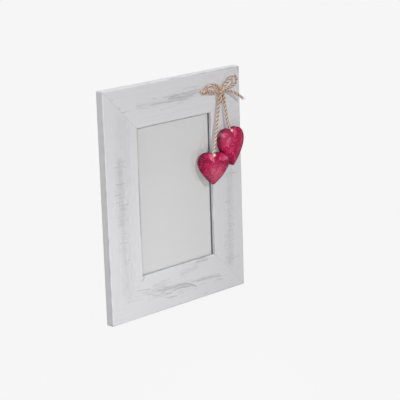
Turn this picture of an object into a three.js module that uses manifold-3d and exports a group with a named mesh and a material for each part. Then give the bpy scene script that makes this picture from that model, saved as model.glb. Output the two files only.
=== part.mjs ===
// Free-standing photo frame: whitewashed mitred mouldings round a pane of glass, an easel back, and a
// twine bow glued to the top right corner that carries two carved wooden hearts.
// Millimetres, +Z up, the picture faces -Y. The frame is modelled upright, with its face on y = 0 and
// its bottom edge on z = 0, and then leans back until its rear edge and the strut's foot share z = 0.
import * as THREE from "three";
import { mergeVertices } from "three/addons/utils/BufferGeometryUtils.js";
import Module from "manifold-3d";

const wasm = await Module();
wasm.setup();

// Clearances
const SEAT_GAP = 0.3; // between pieces that rest on each other or sit in a cut made for them
const TURN_GAP = 0.4; // round pieces that turn past a neighbour
const PIN_GAP = 0.12; // between the hinge pin and its knuckles
const STOP_GAP = 0.2; // left at the strut's open stop

// Mouldings
const FRAME_WIDTH = 175;
const FRAME_HEIGHT = 222;
const MOULDING_WIDTH = 40;
const LIP_THICKNESS = 3.5; // wood in front of the glass
const REBATE_WIDTH = 5.5; // how far the lip reaches over the rebate, which takes a 100 x 150 print
const ARRIS = 0.7; // softened front edges
const LIP_RELIEF = 1; // bevel behind the lip, which leaves a dark line round the glass

// What lies in the rebate, front to back
const GLASS_THICKNESS = 1.7;
const CARD_THICKNESS = 0.4;
const BOARD_THICKNESS = 2;
const EDGE_PLAY = 0.5; // sideways play of the pane, card and board in the rebate

// V-nails across the mitres
const V_NAIL_IN = 27; // apex, along the mitre from the outer corner
const V_NAIL_LEG = 6;
const V_NAIL_SWEEP = 25; // degrees that each leg turns back from square to the mitre
const V_NAIL_THICKNESS = 0.7;
const V_NAIL_DEPTH = 5;

// Easel strut and its hinge
const LEAN = 10; // degrees that the frame leans back
const STRUT_OPEN = 18; // degrees between the strut and the frame's back
const HINGE_FROM_TOP = 62; // hinge axis below the frame's top edge
const STRUT_THICKNESS = 2.4;
const STRUT_TOP_WIDTH = 38;
const STRUT_FOOT_WIDTH = 62;
const STRUT_CORNER = 5;
const LEAF_WIDTH = 28;
const LEAF_HEIGHT = 16;
const LEAF_THICKNESS = 0.8;
const LEAF_CORNER = 3;
const KNUCKLE_WIDTH = 10; // the moving leaf's middle knuckle
const PIN_RADIUS = 0.8;
const PIN_HEAD = 0.5; // how far each peened end stands out, sideways and endways
const RIVET_SPACING = 17;
const RIVET_HEIGHT = 10; // from the hinge axis
const RIVET_RADIUS = 1;
const RIVET_HEAD_RADIUS = 2;
const RIVET_HEAD_HEIGHT = 0.9;

// Turn buttons that hold the board in
const BUTTON_SPACING = 84; // between the two on one stile
const BUTTON_INSET = 7; // pivot, from the edge of the rebate
const BUTTON_REACH = 13; // pivot to the centre of the tip
const BUTTON_END_RADIUS = 5;
const BUTTON_TIP_RADIUS = 3.2;
const BUTTON_THICKNESS = 0.8;
const SCREW_RADIUS = 1.3;
const SCREW_DEPTH = 5;
const SCREW_HEAD_RADIUS = 3;
const SCREW_HEAD_HEIGHT = 1.6;
const SCREW_SLOT_WIDTH = 0.9;
const SCREW_SLOT_DEPTH = 0.7;

// Twine bow
const BOW_FROM_RIGHT = 30;
const BOW_FROM_TOP = 19.5;
const TWINE_DIAMETER = 2.5;
const KNOT_WRAPS = 2; // turns of twine round each knot
const WRAP_TAPER = 0.35; // how far the winding narrows towards its ends: 0 is a drum, 1 a ball
const KNOT_WIDTH = 8.8;
const KNOT_HEIGHT = 8.6;
const KNOT_DEPTH = 7.8;
const END_KNOT_LENGTH = 9;
const END_KNOT_THICKNESS = 5.4;

// Hearts: height is from the lobes' tops to the tip
const RIGHT_HEART_WIDTH = 32;
const RIGHT_HEART_HEIGHT = 36.4;
const LEFT_HEART_WIDTH = 30.4;
const LEFT_HEART_HEIGHT = 31;
const HEART_THICKNESS = 12;
const HEART_EDGE = 3.6; // thickness of the side wall round the outline
const HEART_FULLNESS = 2.2; // exponent of the puffed section: 2 is an ellipse, more is squarer
const HEART_CROWN = 0.4; // thickest point, of the way from the cleft to the tip
const HEART_SHOULDER = 0.24; // widest point, of the same way
const LOBE_RISE = 2.6; // lobes above the cleft
const LOBE_PINCH = 0.12; // the outline's handles, of half the width or of the way to the tip
const FLANK_FULL = 0.36;
const TIP_PINCH = 0.32;
const TIP_FULL = 0.86;
const NOTCH_LENGTH = 8.5; // carved notch, from the cleft to where it runs out on the face
const NOTCH_FLOOR = 2.1; // its floor at the cleft, from the middle of the thickness
const NOTCH_ANGLE = 135; // degrees between its flanks
const LEFT_HEART_TURN = -27; // degrees about the cord: its right lobe stands forward of the other heart
const LEFT_HEART_TILT = -3; // degrees that its tip swings, in its own plane
const RIGHT_HEART_TILT = 1.5;
const CORD_SEAT = 5.5; // cord glued into each heart

// Facets
const CURVE_STEPS = 6;
const ROUND_SIDES = 12;
const TWINE_SIDES = 8;
const WRAP_POINTS = 12; // of the route of one turn
const HEART_RINGS = 6;
const STRAIGHT_STEP = 2.2; // twine diameters between the rings of a strand
const LOOP_STEP = 1.2;
const WRAP_STEP = 0.4;
const OVERCUT = 1; // how far a cutting tool runs past what it cuts

// The bow's routes, as x, distance out from the face, and z from the middle of the knot.
const LEFT_SWING_AT = [-2, 4, -3.7];
const LEFT_LIFT_AT = [-3.5, 4.4, -14.5];
const LEFT_HEART_AT = [-14.6, 6.3, -60.2];
const RIGHT_SWING_AT = [2.6, 4, -3.7];
const RIGHT_LIFT_AT = [4.8, 4.4, -14.5];
const RIGHT_HEART_AT = [8.9, 2 * SEAT_GAP + HEART_THICKNESS / 2, -40.5];
const LEFT_CORD_BENDS = [[-6.1, 4.8, -27.7], [-9.4, 5.4, -43], [-12.5, 5.9, -54.5]];
const RIGHT_CORD_BENDS = [[5.8, 5.1, -24], [7, 5.8, -33]];
const LEFT_LOOP = [
  [-1.5, 5.2, 1.8], [-4.6, 6, 4], [-8.2, 7, 6.4], [-12.7, 8, 8.1], [-17, 8.5, 8], [-19.9, 8.5, 6.3],
  [-20.3, 8.2, 4.1], [-18.8, 7.7, 2], [-15.1, 7.1, 0.4], [-10, 6.8, -0.5], [-5.2, 6.7, -0.7],
  [-1.5, 6.5, -0.5],
];
const RIGHT_LOOP = [
  [1.2, 5, 2], [3.6, 5.2, 3.8], [6.3, 6, 6.3], [10, 7, 9.7], [13.4, 7.5, 12.6], [16.5, 7.3, 12.4],
  [18.9, 7, 9.7], [18.6, 6.7, 6.7], [16.4, 6.5, 3.9], [12.6, 6.5, 2.1], [8, 6.6, 1.2], [4.2, 6.6, 0.9],
  [1.5, 6.4, 0.6],
];
const LEFT_TAIL = [[-1.5, 3.2, 0], [-5, 3.1, 0.4], [-9.4, 3.1, 0.7], [-14, 3.1, 1.1]];
const LEFT_END_KNOT_AT = [-21.1, 3.4, 1.7];
const RIGHT_TAIL = [
  [1.5, 3.4, -0.4], [5.6, 3.8, -0.8], [9.1, 4.8, -1.5], [12.4, 6.4, -2.6], [15.8, 7.8, -4.3],
  [19.5, 8.5, -6.6], [22.7, 8.9, -9], [25.1, 9, -10.8],
];
const KNOT_BIGHT = [
  [-1.8, 6.2, -1.6], [-3.5, 7.1, -4.6], [-3.3, 7.4, -7.6], [-1.8, 7.4, -10.4], [0.1, 7.4, -10.6],
  [1.2, 7.4, -8.2], [1.2, 7.2, -5], [0.7, 6.2, -1.8],
];

// Depths and places that follow from the sizes above
const GLASS_FRONT = LIP_THICKNESS + SEAT_GAP;
const CARD_FRONT = GLASS_FRONT + GLASS_THICKNESS + SEAT_GAP;
const BOARD_FRONT = CARD_FRONT + CARD_THICKNESS + SEAT_GAP;
const FRAME_THICKNESS = BOARD_FRONT + BOARD_THICKNESS;
const WINDOW_WIDTH = FRAME_WIDTH - 2 * MOULDING_WIDTH;
const WINDOW_HEIGHT = FRAME_HEIGHT - 2 * MOULDING_WIDTH;
const INSERT_WIDTH = WINDOW_WIDTH + 2 * REBATE_WIDTH - 2 * EDGE_PLAY;
const INSERT_HEIGHT = WINDOW_HEIGHT + 2 * REBATE_WIDTH - 2 * EDGE_PLAY;
const KNUCKLE_RADIUS = PIN_RADIUS + PIN_GAP + LEAF_THICKNESS;
const AXIS_OUT = SEAT_GAP + KNUCKLE_RADIUS; // hinge axis behind the board
const HINGE_HEIGHT = FRAME_HEIGHT - HINGE_FROM_TOP;
const TWINE_RADIUS = TWINE_DIAMETER / 2;
const lean = THREE.MathUtils.degToRad(LEAN);
const open = THREE.MathUtils.degToRad(STRUT_OPEN);

const steel = { color: 0xb9bcc0, roughness: 0.35, metalness: 1 };
const whitewash = { color: 0xd9d9d7, roughness: 0.75, metalness: 0 };
const hardboard = { color: 0x9a7550, roughness: 0.85, metalness: 0 };
const jute = { color: 0xb8946f, roughness: 0.95, metalness: 0 };
const raspberry = { color: 0xa82a55, roughness: 0.55, metalness: 0 };

function piece(name, geometry, look) {
  const mesh = new THREE.Mesh(geometry, new THREE.MeshStandardMaterial(look));
  mesh.name = name;
  return mesh;
}

// Joining and cutting

function toSolid(geometry) {
  const bare = geometry.clone();
  bare.deleteAttribute("normal");
  bare.deleteAttribute("uv");
  const merged = mergeVertices(bare, 1e-4);
  return new wasm.Manifold(
    new wasm.Mesh({
      numProp: 3,
      vertProperties: merged.attributes.position.array,
      triVerts: new Uint32Array(merged.index.array),
    }),
  );
}

function toGeometry(solid) {
  const mesh = solid.getMesh();
  return new THREE.BufferGeometry()
    .setAttribute("position", new THREE.BufferAttribute(mesh.vertProperties, 3))
    .setIndex(new THREE.BufferAttribute(mesh.triVerts, 1));
}

function cut(geometry, ...tools) {
  return toGeometry(tools.reduce((left, tool) => left.subtract(toSolid(tool)), toSolid(geometry)));
}

function join(geometry, ...others) {
  return toGeometry(others.reduce((made, other) => made.add(toSolid(other)), toSolid(geometry)));
}

// Basic forms

// A flat piece cut from sheet: its outline is in x and z, and it fills the depths from front to back.
function sheet(outline, front, back) {
  return new THREE.ExtrudeGeometry(outline, {
    depth: back - front,
    bevelEnabled: false,
    curveSegments: CURVE_STEPS,
  })
    .rotateX(Math.PI / 2)
    .translate(0, back, 0);
}

function slab(width, height, front, back) {
  return new THREE.BoxGeometry(width, back - front, height).translate(0, (front + back) / 2, 0);
}

// A round bar along y, for pins and drilled holes.
function rodAlongY(radius, front, back, x, z) {
  const bar = new THREE.CylinderGeometry(radius, radius, back - front, ROUND_SIDES);
  return bar.translate(x, (front + back) / 2, z);
}

function rodAlongX(radius, length, x) {
  const bar = new THREE.CylinderGeometry(radius, radius, length, ROUND_SIDES);
  return bar.rotateZ(Math.PI / 2).translate(x, 0, 0);
}

function ball(radius, centre) {
  return new THREE.SphereGeometry(radius, ROUND_SIDES, TWINE_SIDES).translate(centre.x, centre.y, centre.z);
}

// A point of the bow, given as x, distance out from the face, and z.
function bowPoint([x, out, z]) {
  return new THREE.Vector3(x, -out, z);
}

// A round strand along a smooth route, with a step every so many diameters.
function strand(route, radius, stepDiameters) {
  const path = new THREE.CatmullRomCurve3(route);
  const corners = Array.from({ length: TWINE_SIDES }, (_, i) => {
    const angle = (2 * Math.PI * i) / TWINE_SIDES;
    return new THREE.Vector2(radius * Math.cos(angle), radius * Math.sin(angle));
  });
  const steps = Math.ceil(path.getLength() / (2 * radius * stepDiameters));
  const section = new THREE.Shape(corners);
  return new THREE.ExtrudeGeometry(section, { steps, extrudePath: path, bevelEnabled: false });
}

// Mouldings

// The section, as distance in from the outer edge and depth behind the face: a flat board with
// softened front edges, a relief behind its lip and a rebate at the back of its inner edge.
const rebateEdge = MOULDING_WIDTH - REBATE_WIDTH;
const mouldingSection = [
  [0, ARRIS], [ARRIS, 0], [MOULDING_WIDTH - ARRIS, 0], [MOULDING_WIDTH, ARRIS],
  [MOULDING_WIDTH, LIP_THICKNESS - LIP_RELIEF], [MOULDING_WIDTH - LIP_RELIEF, LIP_THICKNESS],
  [rebateEdge, LIP_THICKNESS], [rebateEdge, FRAME_THICKNESS], [0, FRAME_THICKNESS],
].map(([inward, depth]) => new THREE.Vector2(inward, depth));

// A rail along x with its outer edge on z = 0: the section is carried from one mitred end to the
// other, so each of its points is as long as the mitre leaves it.
function mitredRail(length) {
  const setback = SEAT_GAP / Math.SQRT2;
  const count = mouldingSection.length;
  const ends = [-1, 1].map((side) =>
    mouldingSection.map((p) => [side * (length / 2 - p.x - setback), p.y, p.x]),
  );
  const faces = [];
  for (let i = 0; i < count; i++) {
    const next = (i + 1) % count;
    faces.push([i, count + next, next], [i, count + i, count + next]);
  }
  for (const [a, b, c] of THREE.ShapeUtils.triangulateShape(mouldingSection, [])) {
    faces.push([a, b, c], [count + a, count + c, count + b]);
  }
  return new THREE.BufferGeometry()
    .setAttribute("position", new THREE.Float32BufferAttribute(ends.flat(2), 3))
    .setIndex(faces.flat());
}

// A V-nail seen from the back: two legs that turn back from square to the mitre, apex inwards.
function vNailOutline(grow) {
  const sweep = THREE.MathUtils.degToRad(V_NAIL_SWEEP);
  const leg = new THREE.Vector2(Math.cos(sweep), -Math.sin(sweep)).multiplyScalar(V_NAIL_LEG + grow);
  const half = V_NAIL_THICKNESS / 2 + grow;
  const apex = half / Math.cos(sweep);
  const side = new THREE.Vector2(Math.sin(sweep), Math.cos(sweep)).multiplyScalar(half);
  const right = [leg.clone().sub(side), leg.clone().add(side)];
  const left = [...right].reverse().map((p) => new THREE.Vector2(-p.x, p.y));
  return new THREE.Shape([new THREE.Vector2(0, -apex), ...right, new THREE.Vector2(0, apex), ...left]);
}

function vNail(xSide, zSide, grow) {
  const along = V_NAIL_IN / Math.SQRT2;
  const x = xSide * (FRAME_WIDTH / 2 - along);
  const z = zSide > 0 ? FRAME_HEIGHT - along : along;
  const inward = Math.atan2(-zSide, -xSide);
  const back = FRAME_THICKNESS - SEAT_GAP + grow;
  return sheet(vNailOutline(grow), FRAME_THICKNESS - V_NAIL_DEPTH - grow, back)
    .rotateY(Math.PI / 2 - inward)
    .translate(x, 0, z);
}

const corners = [
  { name: "top_left", xSide: -1, zSide: 1 },
  { name: "top_right", xSide: 1, zSide: 1 },
  { name: "bottom_left", xSide: -1, zSide: -1 },
  { name: "bottom_right", xSide: 1, zSide: -1 },
];

const buttonX = WINDOW_WIDTH / 2 + REBATE_WIDTH + BUTTON_INSET;
const buttons = corners.map(({ name, xSide, zSide }) => ({
  name,
  xSide,
  x: xSide * buttonX,
  z: FRAME_HEIGHT / 2 + (zSide * BUTTON_SPACING) / 2,
}));

function addMouldings(frame) {
  const half = FRAME_WIDTH / 2;
  const middle = FRAME_HEIGHT / 2;
  const rails = [
    ["bottom_rail", mitredRail(FRAME_WIDTH)],
    ["top_rail", mitredRail(FRAME_WIDTH).rotateY(Math.PI).translate(0, 0, FRAME_HEIGHT)],
    ["left_stile", mitredRail(FRAME_HEIGHT).rotateY(Math.PI / 2).translate(-half, 0, middle)],
    ["right_stile", mitredRail(FRAME_HEIGHT).rotateY(-Math.PI / 2).translate(half, 0, middle)],
  ];
  const slots = corners.map(({ xSide, zSide }) => vNail(xSide, zSide, SEAT_GAP));
  const pilotEnd = FRAME_THICKNESS - SCREW_DEPTH - SEAT_GAP;
  const pilots = buttons.map(({ x, z }) =>
    rodAlongY(SCREW_RADIUS + SEAT_GAP, pilotEnd, FRAME_THICKNESS + OVERCUT, x, z),
  );
  for (const [name, geometry] of rails) {
    frame.add(piece(name, cut(geometry, ...slots, ...pilots), whitewash));
  }
  for (const { name, xSide, zSide } of corners) {
    frame.add(piece(`v_nail_${name}`, vNail(xSide, zSide, 0), steel));
  }
}

// Pane, card and board

const rivetSides = [["left", -1], ["right", 1]];

function rivetHoles(front, back, z) {
  return rivetSides.map(([, side]) =>
    rodAlongY(RIVET_RADIUS + SEAT_GAP, front - OVERCUT, back + OVERCUT, (side * RIVET_SPACING) / 2, z),
  );
}

function addInserts(frame) {
  const middle = FRAME_HEIGHT / 2;
  const pane = slab(INSERT_WIDTH, INSERT_HEIGHT, GLASS_FRONT, GLASS_FRONT + GLASS_THICKNESS);
  const card = slab(INSERT_WIDTH, INSERT_HEIGHT, CARD_FRONT, CARD_FRONT + CARD_THICKNESS);
  const board = slab(INSERT_WIDTH, INSERT_HEIGHT, BOARD_FRONT, FRAME_THICKNESS).translate(0, 0, middle);
  const holes = rivetHoles(BOARD_FRONT, FRAME_THICKNESS, HINGE_HEIGHT + RIVET_HEIGHT);
  frame.add(
    piece("glass_pane", pane.translate(0, 0, middle), { color: 0xe4eaea, roughness: 0.03, metalness: 0 }),
    piece("photo_card", card.translate(0, 0, middle), { color: 0xcfcfcf, roughness: 0.8, metalness: 0 }),
    piece("backing_board", cut(board, ...holes), hardboard),
  );
}

// Turned fastenings along y, head to the back: y = 0 is the face that the head sits on.

function fastening(shankRadius, depth, pointLength, headRadius, headHeight) {
  const head = SEAT_GAP + headHeight;
  const crown = new THREE.EllipseCurve(0, SEAT_GAP, headRadius, headHeight, 0, Math.PI / 2);
  const profile = [
    new THREE.Vector2(0, -depth),
    new THREE.Vector2(shankRadius - pointLength / 2, -depth),
    new THREE.Vector2(shankRadius, pointLength - depth),
    new THREE.Vector2(shankRadius, SEAT_GAP),
    ...crown.getPoints(3).slice(0, -1),
    new THREE.Vector2(0, head),
  ];
  return new THREE.LatheGeometry(profile, ROUND_SIDES);
}

function addTurnButtons(frame) {
  const end = Math.acos((BUTTON_END_RADIUS - BUTTON_TIP_RADIUS) / BUTTON_REACH);
  const outline = new THREE.Shape();
  outline.absarc(BUTTON_REACH, 0, BUTTON_TIP_RADIUS, -end, end, false);
  outline.absarc(0, 0, BUTTON_END_RADIUS, end, 2 * Math.PI - end, false);
  const blank = sheet(outline, 0, BUTTON_THICKNESS);
  const hole = rodAlongY(SCREW_RADIUS + SEAT_GAP, -OVERCUT, BUTTON_THICKNESS + OVERCUT, 0, 0);
  const grip = SCREW_DEPTH + SEAT_GAP + BUTTON_THICKNESS;
  const screw = fastening(SCREW_RADIUS, grip, SCREW_RADIUS, SCREW_HEAD_RADIUS, SCREW_HEAD_HEIGHT);
  const headTop = SEAT_GAP + SCREW_HEAD_HEIGHT;
  const slotLength = 2 * (SCREW_HEAD_RADIUS + OVERCUT);
  const slot = slab(slotLength, SCREW_SLOT_WIDTH, headTop - SCREW_SLOT_DEPTH, headTop + OVERCUT);
  const seat = FRAME_THICKNESS + SEAT_GAP;
  for (const { name, xSide, x, z } of buttons) {
    const pivot = new THREE.Group();
    pivot.name = `${name}_button_turn`;
    pivot.position.set(x, seat, z);
    pivot.rotation.y = xSide > 0 ? Math.PI : 0;
    pivot.add(piece(`turn_button_${name}`, cut(blank, hole), steel));
    const screwPiece = piece(`button_screw_${name}`, cut(screw, slot), steel);
    screwPiece.position.set(x, seat + BUTTON_THICKNESS, z);
    frame.add(pivot, screwPiece);
  }
}

// Easel strut: its hinge axis is the local x axis, and the strut hangs down from it.

const leafBack = STRUT_THICKNESS + SEAT_GAP - KNUCKLE_RADIUS + LEAF_THICKNESS; // moving leaf, behind the axis
const knuckleClear = KNUCKLE_RADIUS + TURN_GAP;

// The fixed leaf: a plate above the axis with a notch for the middle knuckle, and two outer knuckles.
function fixedLeaf() {
  const half = LEAF_WIDTH / 2;
  const notch = KNUCKLE_WIDTH / 2 + TURN_GAP;
  const outline = new THREE.Shape();
  outline.moveTo(-half, 0);
  outline.lineTo(-notch, 0);
  outline.lineTo(-notch, knuckleClear);
  outline.lineTo(notch, knuckleClear);
  outline.lineTo(notch, 0);
  outline.lineTo(half, 0);
  outline.absarc(half - LEAF_CORNER, LEAF_HEIGHT - LEAF_CORNER, LEAF_CORNER, 0, Math.PI / 2, false);
  outline.absarc(LEAF_CORNER - half, LEAF_HEIGHT - LEAF_CORNER, LEAF_CORNER, Math.PI / 2, Math.PI, false);
  const front = -KNUCKLE_RADIUS;
  const back = front + LEAF_THICKNESS;
  const plate = sheet(outline, front, back);
  const barrel = half - notch;
  const knuckles = [-1, 1].map((side) => rodAlongX(KNUCKLE_RADIUS, barrel, side * (notch + barrel / 2)));
  const bore = rodAlongX(PIN_RADIUS + PIN_GAP, LEAF_WIDTH + 2 * OVERCUT, 0);
  return cut(join(plate, ...knuckles), bore, ...rivetHoles(front, back, RIVET_HEIGHT));
}

// The moving leaf: a plate on the strut, the middle knuckle, and a tab above it that meets the fixed
// leaf when the strut is open.
function movingLeaf() {
  const half = LEAF_WIDTH / 2;
  const middle = KNUCKLE_WIDTH / 2;
  const front = leafBack - LEAF_THICKNESS;
  const fixedBack = LEAF_THICKNESS - KNUCKLE_RADIUS;
  const tab = (front * Math.cos(open) - fixedBack - STOP_GAP) / Math.sin(open);
  const outline = new THREE.Shape();
  outline.moveTo(half, -knuckleClear);
  outline.lineTo(middle, -knuckleClear);
  outline.lineTo(middle, tab);
  outline.lineTo(-middle, tab);
  outline.lineTo(-middle, -knuckleClear);
  outline.lineTo(-half, -knuckleClear);
  outline.absarc(LEAF_CORNER - half, LEAF_CORNER - LEAF_HEIGHT, LEAF_CORNER, Math.PI, 1.5 * Math.PI, false);
  outline.absarc(half - LEAF_CORNER, LEAF_CORNER - LEAF_HEIGHT, LEAF_CORNER, 1.5 * Math.PI, 0, false);
  const plate = sheet(outline, front, leafBack);
  const knuckle = rodAlongX(KNUCKLE_RADIUS, KNUCKLE_WIDTH, 0);
  const bore = rodAlongX(PIN_RADIUS + PIN_GAP, LEAF_WIDTH, 0);
  return cut(join(plate, knuckle), bore, ...rivetHoles(front, leafBack, -RIVET_HEIGHT));
}

// A tapered board, cut off by the table at its foot.
function strutLeg(axisHeight) {
  const front = -KNUCKLE_RADIUS;
  const back = front + STRUT_THICKNESS;
  const splay = open - lean;
  const foot = axisHeight / Math.cos(splay);
  const past = foot + STRUT_THICKNESS;
  const top = -knuckleClear;
  const topHalf = STRUT_TOP_WIDTH / 2;
  const outline = new THREE.Shape();
  outline.moveTo(-STRUT_FOOT_WIDTH / 2, -past);
  outline.lineTo(STRUT_FOOT_WIDTH / 2, -past);
  outline.lineTo(topHalf, top - STRUT_CORNER);
  outline.quadraticCurveTo(topHalf, top, topHalf - STRUT_CORNER, top);
  outline.lineTo(STRUT_CORNER - topHalf, top);
  outline.quadraticCurveTo(-topHalf, top, -topHalf, top - STRUT_CORNER);
  const table = new THREE.BoxGeometry(2 * STRUT_FOOT_WIDTH, 8 * STRUT_THICKNESS, 4 * STRUT_THICKNESS)
    .translate(0, 0, -2 * STRUT_THICKNESS)
    .rotateX(-splay)
    .translate(0, 0, -foot);
  return cut(sheet(outline, front, back), table, ...rivetHoles(front, back, -RIVET_HEIGHT));
}

function addRivets(group, leaf, y, z, grip) {
  for (const [name, side] of rivetSides) {
    const made = fastening(RIVET_RADIUS, grip, 0, RIVET_HEAD_RADIUS, RIVET_HEAD_HEIGHT);
    const rivet = piece(`${leaf}_rivet_${name}`, made, steel);
    rivet.position.set((side * RIVET_SPACING) / 2, y, z);
    group.add(rivet);
  }
}

function addStrut(frame) {
  const hinge = new THREE.Group();
  hinge.position.set(0, FRAME_THICKNESS + AXIS_OUT, HINGE_HEIGHT);
  const fixedBack = LEAF_THICKNESS - KNUCKLE_RADIUS;
  const pinHalf = LEAF_WIDTH / 2 + SEAT_GAP;
  const headRadius = PIN_RADIUS + PIN_HEAD;
  const pin = [
    [0, -pinHalf - PIN_HEAD], [headRadius, -pinHalf - PIN_HEAD / 2], [headRadius, -pinHalf],
    [PIN_RADIUS, -pinHalf], [PIN_RADIUS, pinHalf], [headRadius, pinHalf],
    [headRadius, pinHalf + PIN_HEAD / 2], [0, pinHalf + PIN_HEAD],
  ].map(([radius, along]) => new THREE.Vector2(radius, along));
  hinge.add(
    piece("hinge_fixed_leaf", fixedLeaf(), steel),
    piece("hinge_pin", new THREE.LatheGeometry(pin, ROUND_SIDES).rotateZ(Math.PI / 2), steel),
  );
  addRivets(hinge, "fixed_leaf", fixedBack, RIVET_HEIGHT, LEAF_THICKNESS + BOARD_THICKNESS);

  const strut = new THREE.Group();
  strut.name = "strut_fold";
  strut.rotation.x = open;
  const axisHeight = HINGE_HEIGHT * Math.cos(lean) - AXIS_OUT * Math.sin(lean);
  strut.add(
    piece("strut_leg", strutLeg(axisHeight), hardboard),
    piece("hinge_moving_leaf", movingLeaf(), steel),
  );
  addRivets(strut, "moving_leaf", leafBack, -RIVET_HEIGHT, LEAF_THICKNESS + STRUT_THICKNESS);
  hinge.add(strut);
  frame.add(hinge);
}

// Hearts

// The outline hangs from the cleft at 0, 0: each half is a round lobe and a fuller flank to the tip.
function heartOutline(width, height) {
  const half = width / 2;
  const tip = LOBE_RISE - height;
  const shoulder = HEART_SHOULDER * tip;
  const crest = (LOBE_RISE - 0.1 * shoulder) / 0.75; // handle that brings the curve's top to the lobe's
  const flank = shoulder + FLANK_FULL * (tip - shoulder);
  const shape = new THREE.Shape();
  shape.moveTo(0, 0);
  shape.bezierCurveTo(LOBE_PINCH * half, crest, half, crest, half, shoulder);
  shape.bezierCurveTo(half, flank, TIP_PINCH * half, TIP_FULL * tip, 0, tip);
  shape.bezierCurveTo(-TIP_PINCH * half, TIP_FULL * tip, -half, flank, -half, shoulder);
  shape.bezierCurveTo(-half, crest, -LOBE_PINCH * half, crest, 0, 0);
  return shape.getPoints(CURVE_STEPS + 2).slice(0, -1);
}

// A puffed heart: rings of the outline shrink from the side wall to a crown on each face.
function heart(width, height) {
  const outline = heartOutline(width, height);
  const count = outline.length;
  const centre = new THREE.Vector2(0, HEART_CROWN * (LOBE_RISE - height));
  const bulge = HEART_THICKNESS / 2 - HEART_EDGE / 2;
  const rounding = 2 / HEART_FULLNESS;
  const points = [[centre.x, HEART_THICKNESS / 2, centre.y]];
  for (const side of [1, -1]) {
    for (let i = 1; i <= HEART_RINGS; i++) {
      const turn = (side > 0 ? i : HEART_RINGS + 1 - i) * (Math.PI / 2 / HEART_RINGS);
      const share = Math.pow(Math.sin(turn), rounding);
      const depth = HEART_EDGE / 2 + bulge * Math.pow(Math.max(Math.cos(turn), 0), rounding);
      for (const p of outline) {
        points.push([centre.x + (p.x - centre.x) * share, side * depth, centre.y + (p.y - centre.y) * share]);
      }
    }
  }
  points.push([centre.x, -HEART_THICKNESS / 2, centre.y]);
  const last = points.length - 1;
  const faces = [];
  for (let i = 0; i < count; i++) {
    const next = (i + 1) % count;
    faces.push([0, 1 + i, 1 + next]);
    for (let ring = 0; ring < 2 * HEART_RINGS - 1; ring++) {
      const a = 1 + ring * count;
      faces.push([a + i, a + count + i, a + count + next], [a + i, a + count + next, a + next]);
    }
    faces.push([last, last - count + next, last - count + i]);
  }
  return new THREE.BufferGeometry()
    .setAttribute("position", new THREE.Float32BufferAttribute(points.flat(), 3))
    .setIndex(faces.flat());
}

// A V-tool for the notch below the cleft: its edge climbs from the floor to the crown of the face.
function notchTool() {
  const climb = Math.atan2(HEART_THICKNESS / 2 - NOTCH_FLOOR, NOTCH_LENGTH);
  const half = HEART_THICKNESS * Math.tan(THREE.MathUtils.degToRad(NOTCH_ANGLE / 2));
  const section = new THREE.Shape();
  section.moveTo(0, 0);
  section.lineTo(-half, -HEART_THICKNESS);
  section.lineTo(half, -HEART_THICKNESS);
  const run = 2 * NOTCH_LENGTH;
  return new THREE.ExtrudeGeometry(section, { depth: 2 * run, bevelEnabled: false })
    .translate(0, 0, -run)
    .rotateX(-climb)
    .translate(0, -NOTCH_FLOOR, 0);
}

// Twine bow

// One hanging heart: the cord's top turns in the knot, and the rest lifts off the face with the heart.
function hangHeart(bow, side, swingAt, liftAt, heartAt, bends, heartGeometry, tilt, turn) {
  const swingPoint = bowPoint(swingAt);
  const liftPoint = bowPoint(liftAt);
  const heartPoint = bowPoint(heartAt);
  const cordEnd = heartPoint.clone().add(new THREE.Vector3(0, 0, -CORD_SEAT));
  const route = [liftPoint, ...bends.map(bowPoint), heartPoint, cordEnd];
  const sleeve = strand(
    [...route.slice(0, -1), cordEnd.clone().add(new THREE.Vector3(0, 0, -SEAT_GAP))],
    TWINE_RADIUS + SEAT_GAP,
    STRAIGHT_STEP,
  );
  const topCord = cut(
    join(strand([swingPoint, liftPoint], TWINE_RADIUS, STRAIGHT_STEP), ball(TWINE_RADIUS, swingPoint)),
    ball(TWINE_RADIUS + TURN_GAP, liftPoint),
  );
  const cord = join(strand(route, TWINE_RADIUS, STRAIGHT_STEP), ball(TWINE_RADIUS, liftPoint));
  const carved = cut(heartGeometry, notchTool())
    .rotateY(-THREE.MathUtils.degToRad(tilt))
    .rotateZ(THREE.MathUtils.degToRad(turn))
    .translate(heartPoint.x, heartPoint.y, heartPoint.z);

  const swing = new THREE.Group();
  swing.name = `${side}_heart_swing`;
  swing.position.copy(swingPoint);
  const lift = new THREE.Group();
  lift.name = `${side}_heart_lift`;
  lift.position.subVectors(liftPoint, swingPoint);
  const toSwing = new THREE.Matrix4().makeTranslation(swingPoint.clone().negate());
  const toLift = new THREE.Matrix4().makeTranslation(liftPoint.clone().negate());
  swing.add(piece(`${side}_cord_top`, topCord.applyMatrix4(toSwing), jute), lift);
  lift.add(
    piece(`${side}_heart_cord`, cord.applyMatrix4(toLift), jute),
    piece(`${side}_heart`, cut(carved, sleeve).applyMatrix4(toLift), raspberry),
  );
  bow.add(swing);
}

function knotBall(width, depth, height, grow, centre) {
  return new THREE.SphereGeometry(1, 2 * TWINE_SIDES, TWINE_SIDES)
    .rotateX(Math.PI / 2)
    .scale(width / 2 + grow, depth / 2 + grow, height / 2 + grow)
    .translate(centre.x, centre.y, centre.z);
}

// The least gap of a wound strand to itself, on points of its route that lie over half a turn apart.
function leastGap(route) {
  const points = new THREE.CatmullRomCurve3(route).getSpacedPoints(WRAP_POINTS * route.length);
  const halfTurn = Math.ceil(points.length / (2 * KNOT_WRAPS));
  let least = Infinity;
  points.forEach((point, i) => {
    for (const other of points.slice(i + halfTurn)) {
      least = Math.min(least, point.distanceTo(other) - TWINE_DIAMETER);
    }
  });
  return least;
}

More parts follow.
